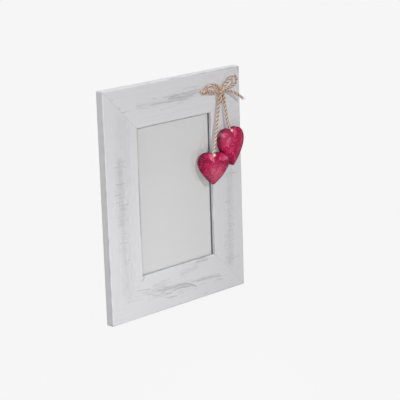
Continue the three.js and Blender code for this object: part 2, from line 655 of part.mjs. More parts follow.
// A knot as it shows: a plain core with one strand wound round it along x, inside the knot's own ball.
// The winding begins and ends at the back and is fattest in the middle.
function woundKnot(name, width, depth, height, centre) {
  const travel = width / 2 - TWINE_RADIUS;
  const count = KNOT_WRAPS * WRAP_POINTS;
  const route = Array.from({ length: count + 1 }, (_, i) => {
    const angle = (2 * Math.PI * i) / WRAP_POINTS;
    const x = travel * ((2 * i) / count - 1);
    const round = Math.sqrt(1 - WRAP_TAPER * (x / (width / 2)) ** 2);
    const out = (depth / 2) * round - TWINE_RADIUS;
    const up = (height / 2) * round - TWINE_RADIUS;
    return new THREE.Vector3(x, out * Math.cos(angle), up * Math.sin(angle)).add(centre);
  });
  console.log(`${name}: least gap between its wraps ${leastGap(route).toFixed(2)} mm`);
  const core = toSolid(knotBall(width, depth, height, -TWINE_RADIUS, centre));
  const room = toSolid(knotBall(width, depth, height, SEAT_GAP / 2, centre));
  return toGeometry(core.add(toSolid(strand(route, TWINE_RADIUS, WRAP_STEP))).intersect(room));
}

function addBow(frame) {
  const bow = new THREE.Group();
  bow.position.set(FRAME_WIDTH / 2 - BOW_FROM_RIGHT, 0, FRAME_HEIGHT - BOW_FROM_TOP);
  const knotAt = bowPoint([0, SEAT_GAP + KNOT_DEPTH / 2, 0]);
  const knotSpace = knotBall(KNOT_WIDTH, KNOT_DEPTH, KNOT_HEIGHT, SEAT_GAP, knotAt);
  const endKnotAt = bowPoint(LEFT_END_KNOT_AT);
  const endKnotSize = [END_KNOT_LENGTH, END_KNOT_THICKNESS, END_KNOT_THICKNESS];
  const sockets = [LEFT_SWING_AT, RIGHT_SWING_AT].map((at) => ball(TWINE_RADIUS + TURN_GAP, bowPoint(at)));
  const knot = cut(woundKnot("bow_knot", KNOT_WIDTH, KNOT_DEPTH, KNOT_HEIGHT, knotAt), ...sockets);
  const fromKnot = (route) => cut(strand(route.map(bowPoint), TWINE_RADIUS, LOOP_STEP), knotSpace);
  const leftTailRoute = [...LEFT_TAIL, LEFT_END_KNOT_AT];
  bow.add(
    piece("bow_knot", knot, jute),
    piece("bow_left_loop", fromKnot(LEFT_LOOP), jute),
    piece("bow_right_loop", fromKnot(RIGHT_LOOP), jute),
    piece("bow_left_tail", cut(fromKnot(leftTailRoute), knotBall(...endKnotSize, SEAT_GAP, endKnotAt)), jute),
    piece("left_tail_knot", woundKnot("left_tail_knot", ...endKnotSize, endKnotAt), jute),
    piece("bow_right_tail", fromKnot(RIGHT_TAIL), jute),
    piece("knot_bight", fromKnot(KNOT_BIGHT), jute),
  );
  const leftHeart = heart(LEFT_HEART_WIDTH, LEFT_HEART_HEIGHT);
  const rightHeart = heart(RIGHT_HEART_WIDTH, RIGHT_HEART_HEIGHT);
  const leftPlaces = [LEFT_SWING_AT, LEFT_LIFT_AT, LEFT_HEART_AT, LEFT_CORD_BENDS];
  const rightPlaces = [RIGHT_SWING_AT, RIGHT_LIFT_AT, RIGHT_HEART_AT, RIGHT_CORD_BENDS];
  hangHeart(bow, "left", ...leftPlaces, leftHeart, LEFT_HEART_TILT, LEFT_HEART_TURN);
  hangHeart(bow, "right", ...rightPlaces, rightHeart, RIGHT_HEART_TILT, 0);
  frame.add(bow);
}

// The whole, leaning back, with the origin on the table under the middle of what stands there.

const leaning = new THREE.Group();
leaning.rotation.x = -lean;
addMouldings(leaning);
addInserts(leaning);
addTurnButtons(leaning);
addStrut(leaning);
addBow(leaning);

const photoFrame = new THREE.Group();
photoFrame.add(leaning);
leaning.position.z = FRAME_THICKNESS * Math.sin(lean);
photoFrame.updateMatrixWorld(true);
const reach = new THREE.Box3().setFromObject(leaning, true);
leaning.position.y = -(reach.min.y + reach.max.y) / 2;

export default photoFrame;
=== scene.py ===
# %% [markdown]
# # A whitewashed photo frame with a twine bow and two carved hearts
#
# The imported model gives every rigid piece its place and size. This lesson dresses it: worn paint on
# the mouldings, glass over a plain card, hardboard and zinc-plated steel at the back, two-ply jute for
# the bow, and carved, painted wood for the hearts. Every new shape is a grid of points that numpy works
# out as whole arrays, and one function turns such a grid into a closed skin.

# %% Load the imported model
import math

import bmesh
import bpy
import numpy as np
from mathutils import Matrix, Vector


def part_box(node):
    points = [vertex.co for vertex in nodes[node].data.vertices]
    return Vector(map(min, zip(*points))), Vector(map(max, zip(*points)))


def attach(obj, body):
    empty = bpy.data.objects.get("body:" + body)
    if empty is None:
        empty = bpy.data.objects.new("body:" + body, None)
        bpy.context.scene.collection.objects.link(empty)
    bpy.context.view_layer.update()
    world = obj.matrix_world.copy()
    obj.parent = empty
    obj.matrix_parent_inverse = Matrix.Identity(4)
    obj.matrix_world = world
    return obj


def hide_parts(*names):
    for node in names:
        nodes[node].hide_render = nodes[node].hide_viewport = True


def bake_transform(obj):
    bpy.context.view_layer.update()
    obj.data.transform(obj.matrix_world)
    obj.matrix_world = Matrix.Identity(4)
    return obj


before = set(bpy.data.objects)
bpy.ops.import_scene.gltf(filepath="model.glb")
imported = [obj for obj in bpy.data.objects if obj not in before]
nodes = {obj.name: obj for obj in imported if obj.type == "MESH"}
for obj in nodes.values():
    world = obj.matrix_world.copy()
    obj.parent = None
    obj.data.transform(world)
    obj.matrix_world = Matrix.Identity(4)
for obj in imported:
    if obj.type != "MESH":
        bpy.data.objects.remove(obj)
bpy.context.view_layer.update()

# %% [markdown]
# ## The frame's own coordinates
#
# The frame leans back by ten degrees, so measures on it are easier in upright coordinates: x to the
# right, y from the face to the back, z up from the bottom edge, all in millimetres. One function leans
# such points back and turns them into metres. A second one does it for the bow, whose routes are
# written as x, distance out from the face, and z from the middle of the knot, as a maker would
# measure them with a ruler held against the frame.

# %% Lean points back into the model's frame
LEAN = math.radians(10)
FRAME_WIDTH, FRAME_HEIGHT, FRAME_THICKNESS = 175.0, 222.0, 8.5
ARRIS = 0.7
BOW_X, BOW_Z = FRAME_WIDTH / 2 - 30.0, FRAME_HEIGHT - 19.5
lean_turn = np.array([
    [1, 0, 0],
    [0, math.cos(LEAN), math.sin(LEAN)],
    [0, -math.sin(LEAN), math.cos(LEAN)],
])
foot_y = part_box("bottom_rail")[0].y * 1000 - ARRIS * math.sin(LEAN)
lean_shift = np.array([0, foot_y, FRAME_THICKNESS * math.sin(LEAN)])


def leaned(points):
    """Upright millimetres to leaning metres: turned about x by the lean, then moved."""
    return (np.asarray(points, float) @ lean_turn.T + lean_shift) / 1000


def on_bow(points):
    """Bow measures (x, out, z) to leaning metres."""
    x, out, z = np.moveaxis(np.asarray(points, float), -1, 0)
    return leaned(np.stack([BOW_X + x, -out, BOW_Z + z], axis=-1))


print("shift in mm:", np.round(lean_shift, 3).tolist())

# %% [markdown]
# ## The camera
#
# The view was worked out from the corners of the mouldings: a long lens, high on the left. Its place and
# its three directions are in the frame's upright coordinates, so the same function leans them back.
# A camera looks along its own minus z, with y up, so the matrix has the columns right, up and backwards.

# %% Camera
FOCAL_PIXELS, IMAGE_PIXELS, SENSOR_MM = 1527.98, 400, 36.0
camera_at = [-958.73, -1033.64, 469.29]
camera_right = np.array([0.71692, -0.69647, -0.03094])
camera_down = np.array([-0.19635, -0.15913, -0.96753])
camera_ahead = np.array([0.66894, 0.69972, -0.25084])

camera = bpy.data.objects.new("camera", bpy.data.cameras.new("camera"))
bpy.context.scene.collection.objects.link(camera)
camera.data.sensor_width = SENSOR_MM
camera.data.lens = FOCAL_PIXELS / IMAGE_PIXELS * SENSOR_MM
camera_matrix = np.eye(4)
camera_matrix[:3, :3] = lean_turn @ np.stack([camera_right, -camera_down, -camera_ahead], axis=1)
camera_matrix[:3, 3] = leaned(camera_at)
camera.matrix_world = Matrix(camera_matrix.tolist())
camera.data.clip_start, camera.data.clip_end = 0.05, 20
bpy.context.scene.camera = camera
print("lens in mm:", round(camera.data.lens, 2), "place:", np.round(camera_matrix[:3, 3], 4).tolist())

# %% [markdown]
# ## From a grid of points to a piece
#
# A tube, a moulding and a heart are all the same thing to Blender: rings of points, one after the other.
# Neighbouring rings are joined by quads, and the first and last ring are closed by one flat face each.
# The faces could be turned outwards with Recalculate Normals. Here the volume decides: if the sum of
# the tetrahedra under the faces is negative, every face is turned round.

# %% Closed skin from rings
pieces = {}


def new_object(name, data):
    """An object with that data, linked into the scene at the origin."""
    made = bpy.data.objects.new(name, data)
    bpy.context.scene.collection.objects.link(made)
    return made


def skin(name, grids, smooth=True):
    """One mesh object from ring grids, each an array of (rings, points, 3) in metres.

    Quad (i, j) joins points j and j + 1 of rings i and i + 1; each end ring is one flat face.
    """
    points, faces, start = [], [], 0
    for grid in grids:
        rings, count = grid.shape[:2]
        ring, spot = np.meshgrid(np.arange(rings - 1) * count, np.arange(count), indexing="ij")
        after = (spot + 1) % count
        quads = np.stack([ring + spot, ring + after, ring + count + after, ring + count + spot], axis=-1)
        quads = quads.reshape(-1, 4)
        flat = grid.reshape(-1, 3)
        a, b, c, d = (flat[quads[:, k]] - flat.mean(0) for k in range(4))
        volume = np.einsum("ij,ij->i", a, np.cross(b, c) + np.cross(c, d)).sum()
        order = [0, 1, 2, 3] if volume > 0 else [3, 2, 1, 0]
        ends = [list(range(count))[::-1], list(range((rings - 1) * count, rings * count))]
        faces += (quads[:, order] + start).tolist()
        faces += [[start + k for k in (end if volume > 0 else end[::-1])] for end in ends]
        points.append(flat)
        start += len(flat)
    mesh = bpy.data.meshes.new(name)
    mesh.from_pydata(np.concatenate(points).tolist(), [], faces)
    mesh.polygons.foreach_set("use_smooth", [smooth] * len(mesh.polygons))
    mesh.update()
    pieces[name] = new_object(name, mesh)
    return pieces[name]


def write_attribute(piece, name, values):
    """One number, or one vector, for each point of the piece, for its material to read."""
    values = np.asarray(values, np.float32)
    kind, field = ("FLOAT", "value") if values.ndim == 1 else ("FLOAT_VECTOR", "vector")
    piece.data.attributes.new(name, kind, "POINT").data.foreach_set(field, values.ravel())


# %% [markdown]
# ## Cords first
#
# Two lengths of twine make the bow. Each forms a loop, goes back through the knot and leaves on the other
# side as a tail, so a loop and the opposite tail are one cord. Two more cords hang from the knot, and a
# heart is on each. A Bezier curve with a bevel could draw them, but a mesh can show how twine is laid:
# two plies turned round each other. The line through the route's points is a centripetal Catmull-Rom
# spline, which passes through every point without overshooting where they lie close together.

# %% Routes of the twine
TWINE_DIAMETER = 2.5
RIGHT_LOOP = [
    [1.2, 5, 2], [3.6, 5.2, 3.8], [6.3, 6, 6.3], [10, 7, 9.7], [13.4, 7.5, 12.6], [16.5, 7.3, 12.4],
    [18.9, 7, 9.7], [18.6, 6.7, 6.7], [16.4, 6.5, 3.9], [12.6, 6.5, 2.1], [8, 6.6, 1.2], [4.2, 6.6, 0.9],
    [1.5, 6.4, 0.6],
]
LEFT_TAIL = [[-1.5, 3.2, 0], [-5, 3.1, 0.4], [-9.4, 3.1, 0.7], [-14, 3.1, 1.1], [-21.1, 3.4, 1.7]]
LEFT_LOOP = [
    [-1.5, 5.2, 1.8], [-4.6, 6, 4], [-8.2, 7, 6.4], [-12.7, 8, 8.1], [-17, 8.5, 8], [-19.9, 8.5, 6.3],
    [-20.3, 8.2, 4.1], [-18.8, 7.7, 2], [-15.1, 7.1, 0.4], [-10, 6.8, -0.5], [-5.2, 6.7, -0.7],
    [-1.5, 6.5, -0.5],
]
RIGHT_TAIL = [
    [1.5, 3.4, -0.4], [5.6, 3.8, -0.8], [9.1, 4.8, -1.5], [12.4, 6.4, -2.6], [15.8, 7.8, -4.3],
    [19.5, 8.5, -6.6], [22.7, 8.9, -9], [25.1, 9, -10.8],
]
LEFT_CORD = [
    [-2, 4, -3.7], [-3.5, 4.4, -14.5], [-6.1, 4.8, -27.7], [-9.4, 5.4, -43], [-12.5, 5.9, -54.5],
    [-14.6, 6.3, -60.2], [-14.6, 6.3, -65.7],
]
RIGHT_CORD = [
    [2.6, 4, -3.7], [4.8, 4.4, -14.5], [5.8, 5.1, -24], [7, 5.8, -33], [8.9, 6.6, -40.5], [8.9, 6.6, -46],
]


def distances(line):
    """Distance of each point of a line from its start, along the line."""
    return np.concatenate([[0], np.cumsum(np.linalg.norm(np.diff(line, axis=0), axis=1))])


def route(points, spacing):
    """A line through the points at even steps of about spacing.

    Centripetal Catmull-Rom: each stretch is a cubic whose end slopes come from the two points on either
    side, with the time between points taken as the square root of their distance.
    """
    p = np.asarray(points, float)
    p = np.concatenate([[2 * p[0] - p[1]], p, [2 * p[-1] - p[-2]]])
    time = np.sqrt(np.linalg.norm(np.diff(p, axis=0), axis=1))[:, None]
    t0, t1, t2 = time[:-2], time[1:-1], time[2:]
    a, b, c, d = p[:-3], p[1:-2], p[2:-1], p[3:]
    leave = ((b - a) / t0 - (c - a) / (t0 + t1) + (c - b) / t1) * t1
    arrive = ((c - b) / t1 - (d - b) / (t1 + t2) + (d - c) / t2) * t1
    u = np.linspace(0, 1, 40)[:, None, None]
    line = (
        (2 * u**3 - 3 * u**2 + 1) * b + (u**3 - 2 * u**2 + u) * leave
        + (3 * u**2 - 2 * u**3) * c + (u**3 - u**2) * arrive
    )
    line = np.swapaxes(line, 0, 1).reshape(-1, 3)
    along = distances(line)
    keep = np.concatenate([[True], np.diff(along) > 1e-9])
    steps = np.linspace(0, along[-1], int(np.ceil(along[-1] / spacing)) + 1)
    return np.stack([np.interp(steps, along[keep], line[keep, k]) for k in range(3)], axis=1)


def line_length(line):
    return float(np.linalg.norm(np.diff(line, axis=0), axis=1).sum())


TWINE_STEP = 0.4
twine_lines = {
    "right_loop_twine": route(RIGHT_LOOP + LEFT_TAIL, TWINE_STEP),
    "left_loop_twine": route(LEFT_LOOP + RIGHT_TAIL, TWINE_STEP),
    "left_hanging_twine": route(LEFT_CORD, TWINE_STEP),
    "right_hanging_twine": route(RIGHT_CORD, TWINE_STEP),
}
for name, line in twine_lines.items():
    print(name, "length in mm:", round(line_length(line), 1))

# %% [markdown]
# ## Two-ply twine
#
# Jute twine is two plies laid side by side and turned once in about eight millimetres. Cut across, it is
# two overlapping circles. That outline, turned with the distance along the line, draws the plies as real
# geometry, where an Array of two curved tubes would need one more modifier for each bend. The frame that
# carries the outline is built from the line's direction and one fixed direction that the line never
# takes. Loose fibres stand off the twine: thin tubes of three sides that taper to a point.

# %% Twine surface
TWINE_SIDES, TWINE_PITCH = 24, 8.0
PLY_RADIUS, PLY_OFFSET = 0.72, 0.36
BLEACH_FROM, BLEACH_RUN, FUZZ_PER_MM = 4.0, 40.0, 0.8


def unit(vectors):
    return vectors / np.linalg.norm(vectors, axis=-1, keepdims=True)


def twine(line, never, radius=TWINE_DIAMETER / 2):
    """Rings of two-ply twine along a line in millimetres, each ring's fibre places, and its groove.

    Outline: offset * |cos a| + sqrt(ply^2 - (offset * sin a)^2), the union of two circles, at an angle
    that grows by one turn in each pitch.
    """
    ahead = unit(np.gradient(line, axis=0))
    side = unit(np.cross(ahead, never))
    up = np.cross(side, ahead)
    along = distances(line)
    angle = np.linspace(0, 2 * np.pi, TWINE_SIDES, endpoint=False)
    ply, offset = PLY_RADIUS * radius, PLY_OFFSET * radius
    reach = offset * np.abs(np.cos(angle)) + np.sqrt(ply**2 - (offset * np.sin(angle)) ** 2)
    turned = angle + 2 * np.pi * along[:, None] / TWINE_PITCH
    spokes = np.cos(turned)[..., None] * side[:, None] + np.sin(turned)[..., None] * up[:, None]
    rings = line[:, None] + reach[:, None] * spokes
    fibre = np.stack(np.broadcast_arrays(along[:, None], angle * radius, 0.0), axis=-1)
    groove = np.broadcast_to(reach / reach.max(), rings.shape[:2])
    return rings, fibre.reshape(-1, 3), groove.ravel()


def fibres(root, aim, length, thickness, chance):
    """Loose fibres as an array (fibres, rings, 3, 3).

    A fibre's middle is its root plus its length times (t * aim + t^2 * a random bend), t from 0 to 1,
    and its radius falls with t.
    """
    t = np.linspace(0, 1, 6)
    bend = chance.normal(0, 0.3, (len(root), 1, 3))
    middle = root[:, None] + length[:, None, None] * (t[:, None] * aim[:, None] + t[:, None] ** 2 * bend)
    side = unit(np.cross(aim, [0.3, 0.5, 0.8]))
    other = unit(np.cross(aim, side))
    angle = 2 * np.pi / 3 * np.arange(3)[:, None]
    ring = np.cos(angle) * side[:, None] + np.sin(angle) * other[:, None]
    return middle[:, :, None] + (thickness * (1 - 0.7 * t))[None, :, None, None] * ring[:, None]


def fuzz(line, per_mm, chance):
    """Fibres that stand off a line of twine, rooted just under its surface and lying mostly along it."""
    at = chance.integers(3, len(line) - 3, int(per_mm * line_length(line)))
    ahead = unit(line[at + 1] - line[at - 1])
    away = chance.normal(size=ahead.shape)
    away = unit(away - (away * ahead).sum(1, keepdims=True) * ahead)
    aim = unit(ahead * chance.choice([-1, 1], (len(at), 1)) + 0.55 * away)
    return fibres(line[at] + 0.8 * away, aim, chance.uniform(0.8, 2.2, len(at)), 0.05, chance)


def twine_piece(name, strands, hairs=()):
    """One object from twine strands and arrays of fibres, with the attributes that the jute reads."""
    loose = [grid for group in hairs for grid in group]
    grids = [strand[0] for strand in strands] + loose
    made = skin(name, [on_bow(grid) for grid in grids])
    hair_points = sum(grid.shape[0] * grid.shape[1] for grid in loose)
    write_attribute(made, "fibre", np.concatenate([s[1] for s in strands] + [np.ones((hair_points, 3))]))
    write_attribute(made, "groove", np.concatenate([s[2] for s in strands] + [np.ones(hair_points)]))
    drop = np.concatenate([-grid[..., 2].ravel() for grid in grids])
    write_attribute(made, "bleach", np.clip((drop - BLEACH_FROM) / BLEACH_RUN, 0, 1))
    print(name, "faces:", len(made.data.polygons))


OUTWARD = np.array([0, 1.0, 0])
chance = np.random.default_rng(7)
for name, line in twine_lines.items():
    twine_piece(name, [twine(line, OUTWARD)], [fuzz(line, FUZZ_PER_MM, chance)])

# %% [markdown]
# The right tail was cut and its end has frayed. The frayed fibres start inside the twine and spread
# round its direction, so they are a small brush of the same tapering tubes.

# %% Frayed end
FRAY_FIBRES = 30
tail = twine_lines["left_loop_twine"]
away = chance.normal(size=(FRAY_FIBRES, 3))
aim = unit(unit(tail[-1] - tail[-4]) + 0.3 * away)
brush = fibres(tail[-5] + 0.4 * away, aim, chance.uniform(2.0, 4.0, FRAY_FIBRES), 0.12, chance)
twine_piece("right_tail_fray", [], [brush])

# %% [markdown]
# ## The knot, its bight and the knot on the tail
#
# The bow's knot is one more length of twine wound round the bundle, so it is a spiral on a drum that is
# fattest in the middle. A short bight of it hangs under the knot. The left tail ends in an overhand knot,
# drawn as close turns with the cut end sticking out. A torus for each turn would look right from the
# front, but its turns would not follow on from each other.

# %% Knots
KNOT_MIDDLE, TAIL_KNOT_MIDDLE = np.array([0, 4.2, 0]), np.array([-21.1, 3.4, 1.7])
KNOT_BIGHT = [
    [-1.8, 6.2, -1.6], [-3.5, 7.1, -4.6], [-3.3, 7.4, -7.6], [-1.8, 7.4, -10.4], [0.1, 7.4, -10.6],
    [1.2, 7.4, -8.2], [1.2, 7.2, -5], [0.7, 6.2, -1.8],
]


def winding(turns, width, depth, height, slant):
    """A spiral on a drum along x, from the back: x grows by width, while out and z go round an ellipse.

    The ellipse shrinks towards both ends, and slant moves x with z, as a wrap that is pulled aside lies.
    """
    share = np.linspace(0, 1, int(64 * turns))
    angle = 2 * np.pi * turns * share
    barrel = np.sqrt(1 - 0.35 * (2 * share - 1) ** 2)
    z = height / 2 * barrel * np.sin(angle)
    out = -depth / 2 * barrel * np.cos(angle)
    return np.stack([width * (share - 0.5) + slant * z, out, z], axis=1)


SIDEWAYS = np.array([1.0, 0, 0])
knot_wraps = KNOT_MIDDLE + winding(2.2, 5.6, 5.2, 6.0, 0.2)
tail_wraps = TAIL_KNOT_MIDDLE + [0.4, 0, 0] + winding(2.4, 6.2, 3.8, 4.0, 0.25)
tail_stub = route([[-25.0, 3.3, 1.9], [-22.5, 3.4, 1.8], [-18.5, 3.4, 1.5]], TWINE_STEP)
twine_piece("bow_knot_wraps", [twine(knot_wraps, SIDEWAYS)])
twine_piece("knot_bight_twine", [twine(route(KNOT_BIGHT, TWINE_STEP), OUTWARD)])
twine_piece("tail_knot_wraps", [twine(tail_wraps, SIDEWAYS), twine(tail_stub, OUTWARD)])

# %% [markdown]
# ## Putting the cords and knots in place
#
# The bow's cords and knots belong to the frame, and the solids they stand for are hidden. The hanging
# cords stay where they are drawn, and the solids of their top length and of the heart's cord are hidden.

# %% Cords and knots on their bodies
for name, stands_for in {
    "right_loop_twine": ["bow_right_loop", "bow_left_tail"],
    "left_loop_twine": ["bow_left_loop", "bow_right_tail"],
    "bow_knot_wraps": ["bow_knot"],
    "knot_bight_twine": ["knot_bight"],
    "tail_knot_wraps": ["left_tail_knot"],
    "right_tail_fray": [],
}.items():
    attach(pieces[name], "frame")
    if stands_for:
        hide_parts(*stands_for)
for side, cord in {"left": LEFT_CORD, "right": RIGHT_CORD}.items():
    hanging = pieces[f"{side}_hanging_twine"]
    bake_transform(hanging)
    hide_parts(f"{side}_cord_top", f"{side}_heart_cord")
for name, far_end, lay, on_it in [
    ("right_loop_twine", "knot", "loose", ["tail_knot_wraps"]),
    ("left_loop_twine", "bare", "loose", ["knot_bight_twine", "right_tail_fray"]),
    ("left_hanging_twine", "object", "hanging", []),
    ("right_hanging_twine", "object", "hanging", []),
]:
    line = on_bow(twine_lines[name])
print("cords:", len(twine_lines))

# %% [markdown]
# ## Colours and nodes
#
# Colours are written as sRGB hex values, the numbers that a picture shows, and one function turns them to
# the linear values that a shader needs. One more adds a node with its settings and its links.

# %% Helpers for materials


def colour(hex_value):
    """sRGB hex to linear red, green, blue and alpha 1."""
    srgb = np.array([int(hex_value[k:k + 2], 16) for k in (1, 3, 5)]) / 255
    linear = np.where(srgb <= 0.04045, srgb / 12.92, ((srgb + 0.055) / 1.055) ** 2.4)
    return (*linear.tolist(), 1.0)


def add(tree, kind, inputs=None, **settings):
    """A node of that kind with its settings; inputs are values or the sockets that feed them."""
    made = tree.nodes.new(kind)
    for key, value in settings.items():
        setattr(made, key, value)
    for key, value in (inputs or {}).items():
        if isinstance(value, bpy.types.NodeSocket):
            tree.links.new(value, made.inputs[key])
        else:
            made.inputs[key].default_value = value
    return made


def new_material(name, **values):
    """A material with one Principled shader, whose plain inputs are given by name."""
    material = bpy.data.materials.new(name)
    material.use_nodes = True
    shader = material.node_tree.nodes["Principled BSDF"]
    for key, value in values.items():
        shader.inputs[key.replace("_", " ")].default_value = value
    return material, material.node_tree, shader


def dress(piece, material, body, node):
    """Gives a piece its material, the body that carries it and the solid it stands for."""
    piece.data.materials.append(material)
    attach(piece, body)
    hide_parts(node)


# %% [markdown]
# Some nodes come back in every material, so each has a short name: a number that the points carry, a step
# of arithmetic, two colours mixed, a value carried over to another range, places in millimetres, noise of
# a real size, and low relief. All of them are added by the one function above.

# %% Nodes that come back


def attribute(tree, name, output="Fac"):
    """What each point of the piece carries under that name."""
    return add(tree, "ShaderNodeAttribute", attribute_name=name).outputs[output]


def maths(tree, operation, *values):
    return add(tree, "ShaderNodeMath", dict(enumerate(values)), operation=operation).outputs[0]


def mixed(tree, factor, first, second):
    """The first colour turning into the second; each is a hex value or a socket."""
    first, second = (colour(c) if isinstance(c, str) else c for c in (first, second))
    return add(tree, "ShaderNodeMix", {0: factor, 6: first, 7: second}, data_type="RGBA").outputs[2]


def ranged(tree, value, start, end, low=0.0, high=1.0, soft=False):
    """The value, from start to end, carried over to low and high, with soft ends if asked."""
    return add(tree, "ShaderNodeMapRange", {
        "Value": value, "From Min": start, "From Max": end, "To Min": low, "To Max": high,
    }, interpolation_type="SMOOTHSTEP" if soft else "LINEAR").outputs[0]


def scaled(tree, vector, scale):
    return add(tree, "ShaderNodeMapping", {"Vector": vector, "Scale": scale}).outputs[0]


def object_place(tree):
    return add(tree, "ShaderNodeTexCoord").outputs["Object"]


def millimetres(tree):
    """Places on the piece in its own coordinates, in millimetres."""
    return scaled(tree, object_place(tree), (1000, 1000, 1000))


def noise(tree, vector, size, detail, roughness=0.5, distortion=0.0):
    """Noise whose blotches have that size in the units of the vector."""
    return add(tree, "ShaderNodeTexNoise", {
        "Vector": vector, "Scale": 1 / size, "Detail": detail,
        "Roughness": roughness, "Distortion": distortion,
    }).outputs["Fac"]


def swayed(tree, value, blotches, amount):
    """The value moved up and down by noise: value + amount * (noise - 0.5)."""
    return maths(tree, "MULTIPLY_ADD", maths(tree, "SUBTRACT", blotches, 0.5), amount, value)


def relief(tree, height, strength, distance):
    """Low relief from a height; the distance is in metres."""
    inputs = {"Height": height, "Strength": strength, "Distance": distance}
    return add(tree, "ShaderNodeBump", inputs).outputs[0]


def feed(tree, shader, **sockets):
    """Links each socket to the shader's input of that name."""
    for key, socket in sockets.items():
        tree.links.new(socket, shader.inputs[key.replace("_", " ")])


# %% [markdown]
# ## Whitewashed pine
#
# The mouldings are pine under a thin white paint that was rubbed through here and there. The eye sees a
# chalky, slightly cool white with soft brush marks along the grain, and grey wood in broken streaks where
# the paint is gone. Each moulding carries its own grain coordinates in millimetres, so that the streaks
# turn the corner with the wood, and numbers that say how hard it was rubbed along and across the grain.
# A streak shows where a stretched noise plus that number is high. The number along the grain also carries
# painted shade: it is raised behind the lips and on the window's inner sides, so that they turn grey.

# %% Material: whitewashed pine
whitewash, tree, shader = new_material("whitewashed_pine", Specular_IOR_Level=0.3)
grain = attribute(tree, "grain", "Vector")


def grain_noise(length, width, detail):
    """Noise in the wood's own coordinates, of that length along the grain and width across it, in mm."""
    return noise(tree, scaled(tree, grain, (1 / length, 1 / width, 1 / width)), 1.0, detail, 0.6)


fine_grain = grain_noise(9.0, 0.8, 4.0)
# This number is rubbing plus painted shade behind the lips and on the window's inner sides.
streaks = ranged(tree, swayed(tree, attribute(tree, "wear_and_shade"), fine_grain, 0.9), 0.02, 0.9, high=0.72, soft=True)
ticks = ranged(tree, swayed(tree, attribute(tree, "saw"), fine_grain, 0.35), 0.04, 0.8, high=0.6, soft=True)
worn_and_shaded = maths(tree, "MAXIMUM", streaks, ticks)
paint = mixed(tree, grain_noise(70.0, 3.0, 3.0), "#d4d4d7", "#dedee0")
painted = mixed(tree, worn_and_shaded, paint, "#95959b")
timber = mixed(tree, grain_noise(40.0, 1.6, 4.0), "#b08a5c", "#dcbf94")
feed(
    tree, shader,
    Base_Color=mixed(tree, attribute(tree, "bare"), painted, timber),
    Roughness=ranged(tree, worn_and_shaded, 0.0, 1.0, 0.6, 0.85),
    Normal=relief(tree, maths(tree, "SUBTRACT", fine_grain, worn_and_shaded), 0.3, 0.0002),
)
print("whitewash nodes:", len(tree.nodes))

# %% [markdown]
# ## The mouldings
#
# Each moulding is one section carried from mitre to mitre. The section is a loop of points: the outer
# side, a rounded arris, the flat face, a rounded arris at the window, the lip with the relief behind it,
# and the rebate that takes the glass. A point further in from the outer edge has a shorter way to go,
# because the ends are cut at 45 degrees. A Bevel modifier would round all edges alike; here the face
# can also carry the low ripples of the grain and the small dents along its edges, and the mitres, which
# the paint fills in the middle, can stand open at their ends.

# %% Section of the mouldings
MOULDING_WIDTH, LIP_THICKNESS, LIP_RELIEF, REBATE_WIDTH = 40.0, 3.5, 0.4, 5.5
EDGE_ROUND = 0.9


def straight(start, end, count):
    """Points from start up to, but without, end."""
    return np.linspace(start, end, count, endpoint=False)


def quarter(centre, radius, first, count):
    """A quarter circle, as inward and depth, from the angle first."""
    angle = np.linspace(first, first + np.pi / 2, count, endpoint=False)
    return np.stack([centre[0] + radius * np.cos(angle), centre[1] + radius * np.sin(angle)], axis=1)


rebate_edge, lip_edge = MOULDING_WIDTH - REBATE_WIDTH, MOULDING_WIDTH - EDGE_ROUND
section = np.concatenate([
    straight([0, FRAME_THICKNESS], [0, EDGE_ROUND], 10),
    quarter([EDGE_ROUND, EDGE_ROUND], EDGE_ROUND, np.pi, 6),
    straight([EDGE_ROUND, 0], [lip_edge, 0], 84),
    quarter([lip_edge, EDGE_ROUND], EDGE_ROUND, 1.5 * np.pi, 6),
    straight([MOULDING_WIDTH, EDGE_ROUND], [MOULDING_WIDTH, LIP_THICKNESS - LIP_RELIEF], 4),
    straight([MOULDING_WIDTH, LIP_THICKNESS - LIP_RELIEF], [MOULDING_WIDTH - LIP_RELIEF, LIP_THICKNESS], 3),
    straight([MOULDING_WIDTH - LIP_RELIEF, LIP_THICKNESS], [rebate_edge, LIP_THICKNESS], 4),
    straight([rebate_edge, LIP_THICKNESS], [rebate_edge, FRAME_THICKNESS], 5),
    straight([rebate_edge, FRAME_THICKNESS], [3.0, FRAME_THICKNESS], 14),
    straight([3.0, FRAME_THICKNESS], [0, FRAME_THICKNESS], 8),
])
print("section points:", len(section))

# %% [markdown]
# The rubbed places are strokes on each moulding. Some have their own place: their half width, how hard, and
# points along the moulding and in from its outer edge; the broad ones are soft smudges. More are short and
# strewn along a band: how many, how far they spread, how hard, and the band's line. The rails were rubbed
# along the grain, and the stiles show fine ticks across it. Both could be painted by hand in Texture Paint,
# but written as lines they can be moved and read.

